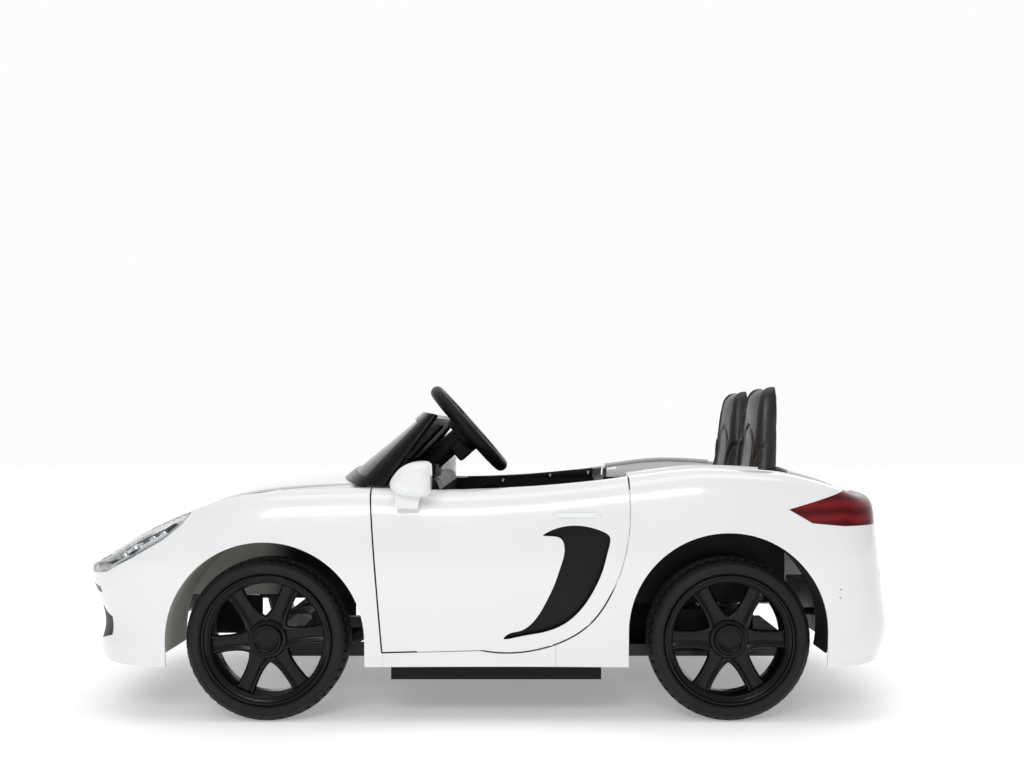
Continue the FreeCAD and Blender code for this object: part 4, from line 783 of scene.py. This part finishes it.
# %% One stitch
stitch_step = 0.0075
stitch_aside = 0.0042
stitch_size = (0.0052, 0.0011, 0.0011)
stitch_rounding = 0.12
stitch_probe = 0.002
stitch_facing = 0.2
ray_height = 0.2
deselect()
bpy.ops.mesh.primitive_cylinder_add(vertices=6, radius=0.5, depth=1.0, rotation=(0, math.pi / 2, 0))
stitch_model = bpy.context.object
bpy.ops.object.transform_apply(rotation=True)
apply_modifier(stitch_model, "BEVEL", width=stitch_rounding, segments=1, limit_method="ANGLE", angle_limit=1.0)
stitch_corners = [tuple(vertex.co) for vertex in stitch_model.data.vertices]
stitch_sides = [list(face.vertices) for face in stitch_model.data.polygons]
bpy.data.objects.remove(stitch_model)
print("stitch corners:", len(stitch_corners))


# %% Lay the stitches
def sew(pad, lines, facing, place, name, material):
    """Lay stitches on the pad along both sides of each line."""
    surface = BVHTree.FromPolygons([v.co for v in pad.data.vertices], [p.vertices for p in pad.data.polygons])
    points, faces = [], []
    for line in lines:
        for aside in (-stitch_aside, stitch_aside):
            for point, way in along_line(line, stitch_step):
                spot = point + Vector((-way.y, way.x)) * aside
                beyond = point + way * stitch_probe + Vector((-way.y, way.x)) * aside
                hit, normal, _, _ = surface.ray_cast(place(spot) + facing * ray_height, -facing)
                onward, _, _, _ = surface.ray_cast(place(beyond) + facing * ray_height, -facing)
                if hit is None or onward is None or normal.dot(facing) < stitch_facing:
                    continue
                forward = (onward - hit).normalized()
                beside = normal.cross(forward).normalized()
                axes = [forward * stitch_size[0], beside * stitch_size[1], normal * stitch_size[2]]
                first = len(points)
                for a, b, c in stitch_corners:
                    points.append(hit + axes[0] * a + axes[1] * b + axes[2] * c)
                faces += [[first + i for i in side] for side in stitch_sides]
    mesh = bpy.data.meshes.new(name)
    mesh.from_pydata(points, [], faces)
    thread = bpy.data.objects.new(name, mesh)
    bpy.context.scene.collection.objects.link(thread)
    print(name, len(faces) // len(stitch_sides), "stitches")
    return settle(thread, name, material, "car", soft_angle)


# %% [markdown]
# ## Seat backs that narrow upwards
# Seen from the side, the backs lean a little, get slimmer above the deck and draw in their top corners, like
# bucket seats. A lattice could do it, but a plain rule by height is exact: the swollen pads are narrowed with
# it, and the seam lines follow the same rule so that they fit.

# %% Shape of a seat back
narrow_from, narrow_top = 0.300, 0.630
narrow_share = 0.40
slim_from, slim_full = 0.300, 0.410
slim_share = 0.20
lean_back = 0.012


def share_of(value, low, high):
    return min(max((value - low) / (high - low), 0.0), 1.0)


def narrowing(z):
    return 1 - narrow_share * share_of(z, narrow_from, narrow_top)


def slim_back(pad, middle, rear_x):
    for vertex in pad.data.vertices:
        x, y, z = vertex.co
        depth = (rear_x - x) * (1 - slim_share * share_of(z, slim_from, slim_full))
        lean = lean_back * share_of(z, narrow_from, narrow_top)
        vertex.co = (rear_x - depth + lean, middle + (y - middle) * narrowing(z), z)


def narrowed(line, middle):
    return [(middle + across * narrowing(z), z) for across, z in line]


print("width left at the top of a back:", narrowing(narrow_top))

# %% [markdown]
# ## Seams of a seat back
# An arched centre panel, two bolsters and a crown are sewn together. Their lines are drawn for one half, across
# and up, and used on both sides of the middle.

# %% One seat back
back_foot = 0.222
panel_half, panel_shoulder, panel_top = 0.062, 0.500, 0.545
bolster_line = [(0.098, back_foot), (0.098, 0.455), (0.104, 0.480), (0.116, 0.500), (0.130, 0.508)]
crown_line = [(0.096, 0.520), (0.092, 0.590), (0.082, 0.624)]
forwards = Vector((-1, 0, 0))


def arc(half, low, high, count=9):
    """Rounded top of a panel: an arch from one side over to the other."""
    turns = [math.pi * k / (count - 1) for k in range(count)]
    return [(-half * math.cos(t), low + (high - low) * math.sin(t)) for t in turns]


def make_back(side_name, middle):
    node = "seat_back_" + side_name
    low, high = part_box(node)
    back = swollen_pad(node)
    slim_back(back, middle, high[0])
    lines = [[(-panel_half, back_foot)] + arc(panel_half, panel_shoulder, panel_top) + [(panel_half, back_foot)]]
    for edge_line in (bolster_line, crown_line):
        lines += [[(s * across, z) for across, z in edge_line] for s in (-1, 1)]
    lines = [narrowed(line, middle) for line in lines]
    press_seams(back, lines, forwards, lambda p: (p.y, p.z))
    settle(back, "seat_back_%s_padded" % side_name, seat_leather, "car", soft_angle)
    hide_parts(node)
    sew(back, lines, forwards, lambda q: Vector((low[0], q.x, q.y)), "seat_back_stitching_" + side_name,
        red_thread)
    print("seat back", side_name, "faces:", len(back.data.polygons))


# %% [markdown]
# ## Cushions
# A cushion has two long seams with thread and two cross seams without it near its front edge. It keeps the plain
# outline of the rigid form, so only the seams are pressed in.

# %% Cushions and all four pads
upwards = Vector((0, 0, 1))
seat_middle = 0.141
cushion_half = 0.076
cushion_inset = 0.012
cross_seams = (0.06, 0.115)


def make_cushion(side_name, middle):
    node = "seat_cushion_" + side_name
    low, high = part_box(node)
    cushion = swollen_pad(node)
    long_lines = [[(low[0] + cushion_inset, middle + s * cushion_half), (high[0], middle + s * cushion_half)]
                  for s in (-1, 1)]
    cross_lines = [[(low[0] + x, middle - cushion_half), (low[0] + x, middle + cushion_half)]
                   for x in cross_seams]
    press_seams(cushion, long_lines + cross_lines, upwards, lambda p: (p.x, p.y))
    settle(cushion, "seat_cushion_%s_padded" % side_name, seat_leather, "car", soft_angle)
    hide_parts(node)
    sew(cushion, long_lines, upwards, lambda q: Vector((q.x, q.y, high[2])),
        "seat_cushion_stitching_" + side_name, red_thread)
    print("cushion", side_name, "faces:", len(cushion.data.polygons))


for side_name, side in sides:
    make_back(side_name, side * seat_middle)
    make_cushion(side_name, side * seat_middle)

# %% [markdown]
# ## Lamp projectors
# Behind the clear headlamp lens sit two round projectors in bezels. They could be painted on the cup, but a lens
# only looks deep with real parts behind it, so one projector is spun from its profile, tilted with the lens and
# copied to its places.

# %% Lamp projectors
projector_profile = [(0.0, -9.0), (5.0, -8.4), (9.0, -6.0), (11.4, -2.4), (11.8, -1.0), (13.4, -3.6),
                     (15.4, -4.0), (17.0, -2.6), (17.4, 3.0), (0.0, 3.0)]
projector_steps = 48
lens_tilt = math.radians(29)
lamp_places = {"lamp_projector": (-0.655, 0.312, 0.313), "lamp_inner_projector": (-0.690, 0.270, 0.2965)}
projector_model = spun(projector_profile, projector_steps)
facing_up = Matrix.Rotation(math.radians(-90), 4, "X")
projector_model.data.transform(Matrix.Rotation(-lens_tilt, 4, "Y") @ facing_up)
for side_name, side in sides:
    for lamp_name, (x, y, z) in lamp_places.items():
        lamp = own_copy(projector_model)
        lamp.location = (x, side * y, z)
        settle(lamp, "%s_%s" % (lamp_name, side_name), lamp_silver, "car")
bpy.data.objects.remove(projector_model)
print("projectors:", 2 * len(lamp_places))

# %% [markdown]
# ## Side markers and daytime lights
# A black side marker sits at the rear tip of each lamp, and a row of small bright cells runs along its upper
# edge. They are small softened blocks set on the cup, because sharp boxes would glint like cut metal.

# %% Side markers and daytime lights
marker_place, marker_size = (-0.574, 0.349, 0.3535), (0.024, 0.012, 0.012)
marker_edge, marker_turn = 0.003, 0.35
cell_start, cell_step = (-0.628, 0.296, 0.331), (0.021, 0.005, 0.0095)
cell_size, cell_edge, cell_count = (0.013, 0.011, 0.007), 0.0025, 4


def softened_block(place, size, edge, turn=(0, 0, 0), segments=3):
    """Block with rounded edges, sizes in metres."""
    deselect()
    bpy.ops.mesh.primitive_cube_add(size=1, location=place, rotation=turn)
    block = bpy.context.object
    block.scale = size
    bpy.ops.object.transform_apply(location=False, rotation=False, scale=True)
    apply_modifier(block, "BEVEL", width=edge, segments=segments, limit_method="ANGLE")
    return block


for side_name, side in sides:
    x, y, z = marker_place
    marker = softened_block((x, side * y, z), marker_size, marker_edge, (0, -lens_tilt, side * marker_turn))
    settle(marker, "side_marker_" + side_name, black_gloss, "car")
    for light in range(cell_count):
        x, y, z = [a + b * light for a, b in zip(cell_start, cell_step)]
        cell = softened_block((x, side * y, z), cell_size, cell_edge, (0, -lens_tilt, 0), 2)
        settle(cell, "daytime_light_%s_%d" % (side_name, light + 1), bright_chrome, "car")
print("lamp cells:", 2 * cell_count)

# %% [markdown]
# ## Pieces that lie on the bodywork
# Pull ridges on the doors, dark slots at the nose corners and round sensor covers on the tail follow the curve
# of the panel under them. A flat grid is pushed onto the panel with a shrinkwrap, raised to its own section and
# given a wall, so that it sits on the panel from every side.

# %% Lay a grid on a panel
patch_start = 1.2
patch_wall = 0.003


def press_onto(piece, panel_node, across, side, **second):
    """Push a piece onto a rigid panel along X or Y, from one side of the car."""
    apply_modifier(piece, "SHRINKWRAP", target=nodes[panel_node], wrap_method="PROJECT",
                   use_project_x=across == "X", use_project_y=across == "Y", use_project_z=False,
                   use_negative_direction=side > 0, use_positive_direction=side < 0, **second)


def laid_patch(panel_node, across, centre, size, cuts, rise, taper=0.0):
    """Patch on a rigid panel. Across is X or Y, the direction of sight; rise(u, v) gives its height in metres.
    Taper draws the patch together, up and down, towards its outer end."""
    deselect()
    bpy.ops.mesh.primitive_grid_add(x_subdivisions=cuts[0], y_subdivisions=cuts[1], size=2)
    patch = bpy.context.object
    shares = [(v.co.x, v.co.y) for v in patch.data.vertices]
    side = 1 if (centre[0] if across == "X" else centre[1]) > 0 else -1
    outward = Vector((side, 0, 0)) if across == "X" else Vector((0, side, 0))
    for vertex, (u, v) in zip(patch.data.vertices, shares):
        if across == "Y":
            vertex.co = (centre[0] + u * size[0] / 2, patch_start * side, centre[2] + v * size[1] / 2)
        else:
            height = size[1] * (1 - taper * (1 + u * (1 if centre[1] > 0 else -1)) / 2)
            vertex.co = (patch_start * side, centre[1] + u * size[0] / 2, centre[2] + v * height / 2)
    press_onto(patch, panel_node, across, side)
    for vertex, (u, v) in zip(patch.data.vertices, shares):
        vertex.co = vertex.co + outward * rise(u, v)
    close_mesh(patch)
    if sum(face.normal.dot(outward) for face in patch.data.polygons) < 0:
        open_whole(patch)
        bpy.ops.mesh.flip_normals()
        close_edit()
    apply_modifier(patch, "SOLIDIFY", thickness=patch_wall, offset=-1.0, use_even_offset=False)
    return patch


print("patches are", patch_wall * 1000, "mm thick")

# %% [markdown]
# ## Door pulls
# A long low ridge on each door is the grip that a hand pulls. It is laid on the door skin as a patch, raised to
# a half-round section that fades at both ends, and smoothed once.

# %% Door pulls
pull_place, pull_size = (0.1725, 0.376, 0.380), (0.090, 0.011)
pull_cuts, pull_height = (36, 10), 0.0065
pull_sink = 0.0006


def ridge(height):
    """Section of a pull ridge: full along its length, rounded off at its ends and its long edges."""
    return lambda u, v: height * (1 - u ** 6) * math.sqrt(max(0.0, 1 - v * v)) - pull_sink


for side_name, side in sides:
    x, y, z = pull_place
    pull = laid_patch("door_skin_" + side_name, "Y", (x, side * y, z), pull_size, pull_cuts, ridge(pull_height))
    apply_modifier(pull, "SUBSURF", levels=1, render_levels=1)
    settle(pull, "door_pull_" + side_name, white_paint, "door_" + side_name, soft_angle)
print("door pulls on both doors")

# %% [markdown]
# ## Nose slots, tail sensors and plugs
# The bumper corners carry a slot with a tapered intake under it, the tail two round sensor covers and two small
# plugs on each side. Cutting the panels would change the rigid pieces, so the slots and intakes are thin flush
# patches whose dark colour is painted shade of the openings, and the covers and plugs are low domes.

# %% Nose slots, tail sensors and plugs
flush_rise = 0.0009
button_sink = 0.0004
slot_place, slot_size, slot_cuts = (-0.72, 0.268, 0.236), (0.085, 0.011), (20, 4)
intake_place, intake_size, intake_cuts = (-0.71, 0.300, 0.170), (0.052, 0.062), (16, 12)
intake_taper = 0.45
sensor_x, sensor_z, sensor_places = 0.75, 0.262, (0.150, 0.300)
sensor_size, sensor_cuts, sensor_height = (0.018, 0.018), (12, 12), 0.0018
plug_x, plug_y, plug_places = 0.650, 0.38, (0.229, 0.244)
plug_size, plug_cuts, plug_height = (0.007, 0.007), (10, 10), 0.0014


def flush(u, v):
    return flush_rise


def button(height):
    """Low round dome; the corners of its grid sink just under the panel."""
    return lambda u, v: height * math.sqrt(max(0.0, 1 - u * u - v * v)) - button_sink


for side_name, side in sides:
    # Flush dark patches: painted shade of the slot and the intake, which are openings in the bumper.
    x, y, z = slot_place
    slot = laid_patch("front_fascia", "X", (x, side * y, z), slot_size, slot_cuts, flush)
    settle(slot, "nose_slot_shade_" + side_name, black_gloss, "car", soft_angle)
    x, y, z = intake_place
    intake = laid_patch("front_fascia", "X", (x, side * y, z), intake_size, intake_cuts, flush, intake_taper)
    settle(intake, "nose_intake_shade_" + side_name, black_moulding, "car", soft_angle)
    for place in sensor_places:
        sensor = laid_patch("rear_fascia", "X", (sensor_x, side * place, sensor_z), sensor_size, sensor_cuts,
                            button(sensor_height))
        sensor_name = "tail_sensor_%s_%d" % (side_name, round(place * 1000))
        settle(sensor, sensor_name, white_paint, "car", soft_angle)
    for count, z in enumerate(plug_places):
        plug = laid_patch("rear_fascia", "Y", (plug_x, side * plug_y, z), plug_size, plug_cuts,
                          button(plug_height))
        settle(plug, "tail_plug_%s_%d" % (side_name, count + 1), lamp_silver, "car", soft_angle)
print("nose and tail pieces laid")

# %% [markdown]
# ## Strips in the door gaps
# On the real car a pale seal lies in the gap behind each door edge, so the gap reads as a soft grey line and not
# as a black cut. A ribbon is laid across the gap, pushed onto the panels on both sides of it, and then drawn in
# to the gap's own width and set back a little. The hinge edge stays free, because the door turns into that gap.

# %% Door seals
door_line = [(0.137, 0.1485), (0.165, 0.163), (0.193, 0.1815), (0.221, 0.219), (0.2440, 0.259), (0.2565, 0.297),
             (0.2648, 0.335), (0.2680, 0.370), (0.2685, 0.400), (0.2685, 0.428)]
sill_line = [(-0.120, 0.1315), (-0.005, 0.1345), (0.060, 0.138), (0.128, 0.1435)]
seals = (("door_seal", door_line, "rear_fascia"), ("sill_seal", sill_line, "side_sills"))
seal_step = 0.008
reach_half, seal_half = 0.006, 0.0011
seal_depth = 0.0016
seal_wall = 0.0016
seal_start, seal_missed = 0.6, 0.5


def make_seal(line, panel_node, side_name, side):
    spots = along_line(line, seal_step)
    deselect()
    bpy.ops.mesh.primitive_grid_add(x_subdivisions=len(spots) - 1, y_subdivisions=1, size=2)
    seal = bpy.context.object
    places = [(*spots[round((v.co.x + 1) / 2 * (len(spots) - 1))], v.co.y) for v in seal.data.vertices]
    for vertex, (spot, way, edge) in zip(seal.data.vertices, places):
        vertex.co = (spot.x - way.y * edge * reach_half, side * seal_start, spot.y + way.x * edge * reach_half)
    press_onto(seal, panel_node, "Y", side, auxiliary_target=nodes["door_skin_" + side_name])
    for kind in (seal.data.polygons, seal.data.edges):
        kind.foreach_set("select", [False] * len(kind))
    for vertex, (spot, way, edge) in zip(seal.data.vertices, places):
        vertex.select = abs(vertex.co.y) > seal_missed
        set_back = vertex.co.y - side * seal_depth
        vertex.co = (spot.x - way.y * edge * seal_half, set_back, spot.y + way.x * edge * seal_half)
    make_active(seal)
    bpy.context.tool_settings.mesh_select_mode = (True, False, False)
    bpy.ops.object.mode_set(mode="EDIT")
    bpy.ops.mesh.delete(type="VERT")
    close_edit()
    apply_modifier(seal, "SOLIDIFY", thickness=seal_wall, offset=0.0)
    close_mesh(seal)
    return seal


for side_name, side in sides:
    for seal_name, line, panel_node in seals:
        seal = make_seal(line, panel_node, side_name, side)
        print(seal_name, side_name, len(seal.data.polygons), "faces")
        settle(seal, "%s_%s" % (seal_name, side_name), white_paint, "car", soft_angle)

# %% [markdown]
# ## Cappings along the cabin edge
# The rigid door panel stops short of the rolled top of the door, and behind the door the shell stands open above
# the tub. A black capping closes the first gap and a pale inner flange the second. Each is a thin strip between
# two edges, so a grid of one row is drawn to those edges and gets a wall.

# %% Door cappings and quarter flanges
strip_edge = 0.0006
capping_y, capping_foot, capping_wall = 0.3194, 0.4212, 0.0046
flange_y, flange_foot, flange_wall = 0.2856, 0.419, 0.002
cap_rows = [(-0.060, 0.4240), (0.0, 0.4245), (0.040, 0.4265), (0.080, 0.4290), (0.120, 0.4325), (0.160, 0.4365),
            (0.200, 0.4400), (0.225, 0.4420), (0.243, 0.4440)]
flange_rows = [(0.275, 0.2875, 0.447), (0.300, 0.2880, 0.4515), (0.340, 0.2900, 0.4560),
               (0.380, 0.2930, 0.4590), (0.420, 0.2945, 0.4605), (0.450, 0.2955, 0.4595),
               (0.480, 0.2940, 0.4585), (0.520, 0.2925, 0.4560), (0.555, 0.2910, 0.4500)]


def strip_between(low_edge, high_edge, wall):
    """Thin strip between two rows of points."""
    deselect()
    bpy.ops.mesh.primitive_grid_add(x_subdivisions=len(low_edge) - 1, y_subdivisions=1, size=2)
    strip = bpy.context.object
    for vertex in strip.data.vertices:
        place = round((vertex.co.x + 1) / 2 * (len(low_edge) - 1))
        vertex.co = (low_edge if vertex.co.y < 0 else high_edge)[place]
    apply_modifier(strip, "SOLIDIFY", thickness=wall, offset=0.0)
    apply_modifier(strip, "BEVEL", width=strip_edge, segments=2, limit_method="ANGLE")
    close_mesh(strip)
    return strip


for side_name, side in sides:
    capping = strip_between([(x, side * capping_y, capping_foot) for x, z in cap_rows],
                            [(x, side * capping_y, z) for x, z in cap_rows], capping_wall)
    settle(capping, "door_capping_" + side_name, black_moulding, "door_" + side_name)
    flange = strip_between([(x, side * flange_y, flange_foot) for x, y, z in flange_rows],
                           [(x, side * y, z) for x, y, z in flange_rows], flange_wall)
    settle(flange, "quarter_flange_" + side_name, white_paint, "car")
print("cappings and flanges on both sides")

# %% [markdown]
# ## Splash shields
# Around the front wheels of such a car the liner runs down past the axle as a black shield with pressed ribs.
# The rigid liner stops above the steering rod, so four shields hang from it clear of the rod: flat plates with
# their faces inset twice to press in the ribs.

# %% Splash shields
shield_spans = {"front": (-0.548, -0.434, 0.140), "rear": (-0.322, -0.252, 0.174)}  # front, rear and foot
shield_top, shield_y = 0.214, 0.2325
shield_wall, shield_edge = 0.003, 0.001
rib_margin, rib_width, rib_height = 0.006, 0.005, 0.001


def faces_sideways(face):
    return abs(face.normal.y) > 0.9


for side_name, side in sides:
    for shield_name, (front_x, rear_x, foot) in shield_spans.items():
        middle = ((front_x + rear_x) / 2, side * shield_y, (foot + shield_top) / 2)
        size = (rear_x - front_x, shield_wall, shield_top - foot)
        shield = softened_block(middle, size, shield_edge, segments=1)
        pick_faces(shield, faces_sideways)
        bpy.ops.mesh.inset(thickness=rib_margin, depth=rib_height)
        bpy.ops.mesh.inset(thickness=rib_width, depth=-rib_height)
        close_edit()
        settle(shield, "splash_shield_%s_%s" % (shield_name, side_name), black_moulding, "car")
print("splash shields:", 2 * len(shield_spans))

# %% [markdown]
# ## Screws in the door panels
# Three bright screws hold each door panel. A screw starts as a short cylinder, gets a raised rim and a sunk
# middle by two insets, and is copied to its places, so that all six are alike.

# %% Screws in the door panels
screw_radius, screw_depth, screw_sink = 0.0036, 0.0020, 0.0006
screw_rim, screw_rise = 0.0012, 0.0005
screw_dish, screw_drop = 0.0010, 0.0009
screw_places = ((0.025, 0.4145), (0.140, 0.4265), (0.232, 0.4335))
trim_face = 0.317
deselect()
bpy.ops.mesh.primitive_cylinder_add(vertices=20, radius=screw_radius, depth=screw_depth,
                                    rotation=(math.pi / 2, 0, 0))
screw_model = bpy.context.object
bpy.ops.object.transform_apply(rotation=True)
pick_faces(screw_model, faces_sideways)
bpy.ops.mesh.inset(thickness=screw_rim, depth=screw_rise)
bpy.ops.mesh.inset(thickness=screw_dish, depth=-screw_drop)
close_edit()
for side_name, side in sides:
    for count, (x, z) in enumerate(screw_places):
        screw = own_copy(screw_model)
        screw.location = (x, side * (trim_face - screw_sink), z)
        screw_name = "door_screw_%s_%d" % (side_name, count + 1)
        settle(screw, screw_name, bright_chrome, "door_" + side_name)
bpy.data.objects.remove(screw_model)
print("door screws:", 2 * len(screw_places))

# %% [markdown]
# ## Sound box
# A small battery box for the sounds hangs behind the steering wheel and turns with it. It is a softened block
# tilted with the column, with its larger faces inset as the lids of the box.

# %% Sound box behind the wheel
column_rise, column_run = 0.661, 0.750
column_tilt = math.atan2(column_rise, column_run)
sound_place, sound_size, sound_edge = (-0.052, -0.141, 0.496), (0.030, 0.062, 0.036), 0.004
lid_area, lid_margin, lid_depth = 0.0008, 0.003, 0.001
sound_box = softened_block(sound_place, sound_size, sound_edge, (0, -column_tilt, 0))
pick_faces(sound_box, lambda face: face.area > lid_area)
bpy.ops.mesh.inset(thickness=lid_margin, depth=-lid_depth)
close_edit()
settle(sound_box, "sound_box", black_moulding, "steering")
print("sound box", [round(v, 3) for v in sound_box.dimensions])
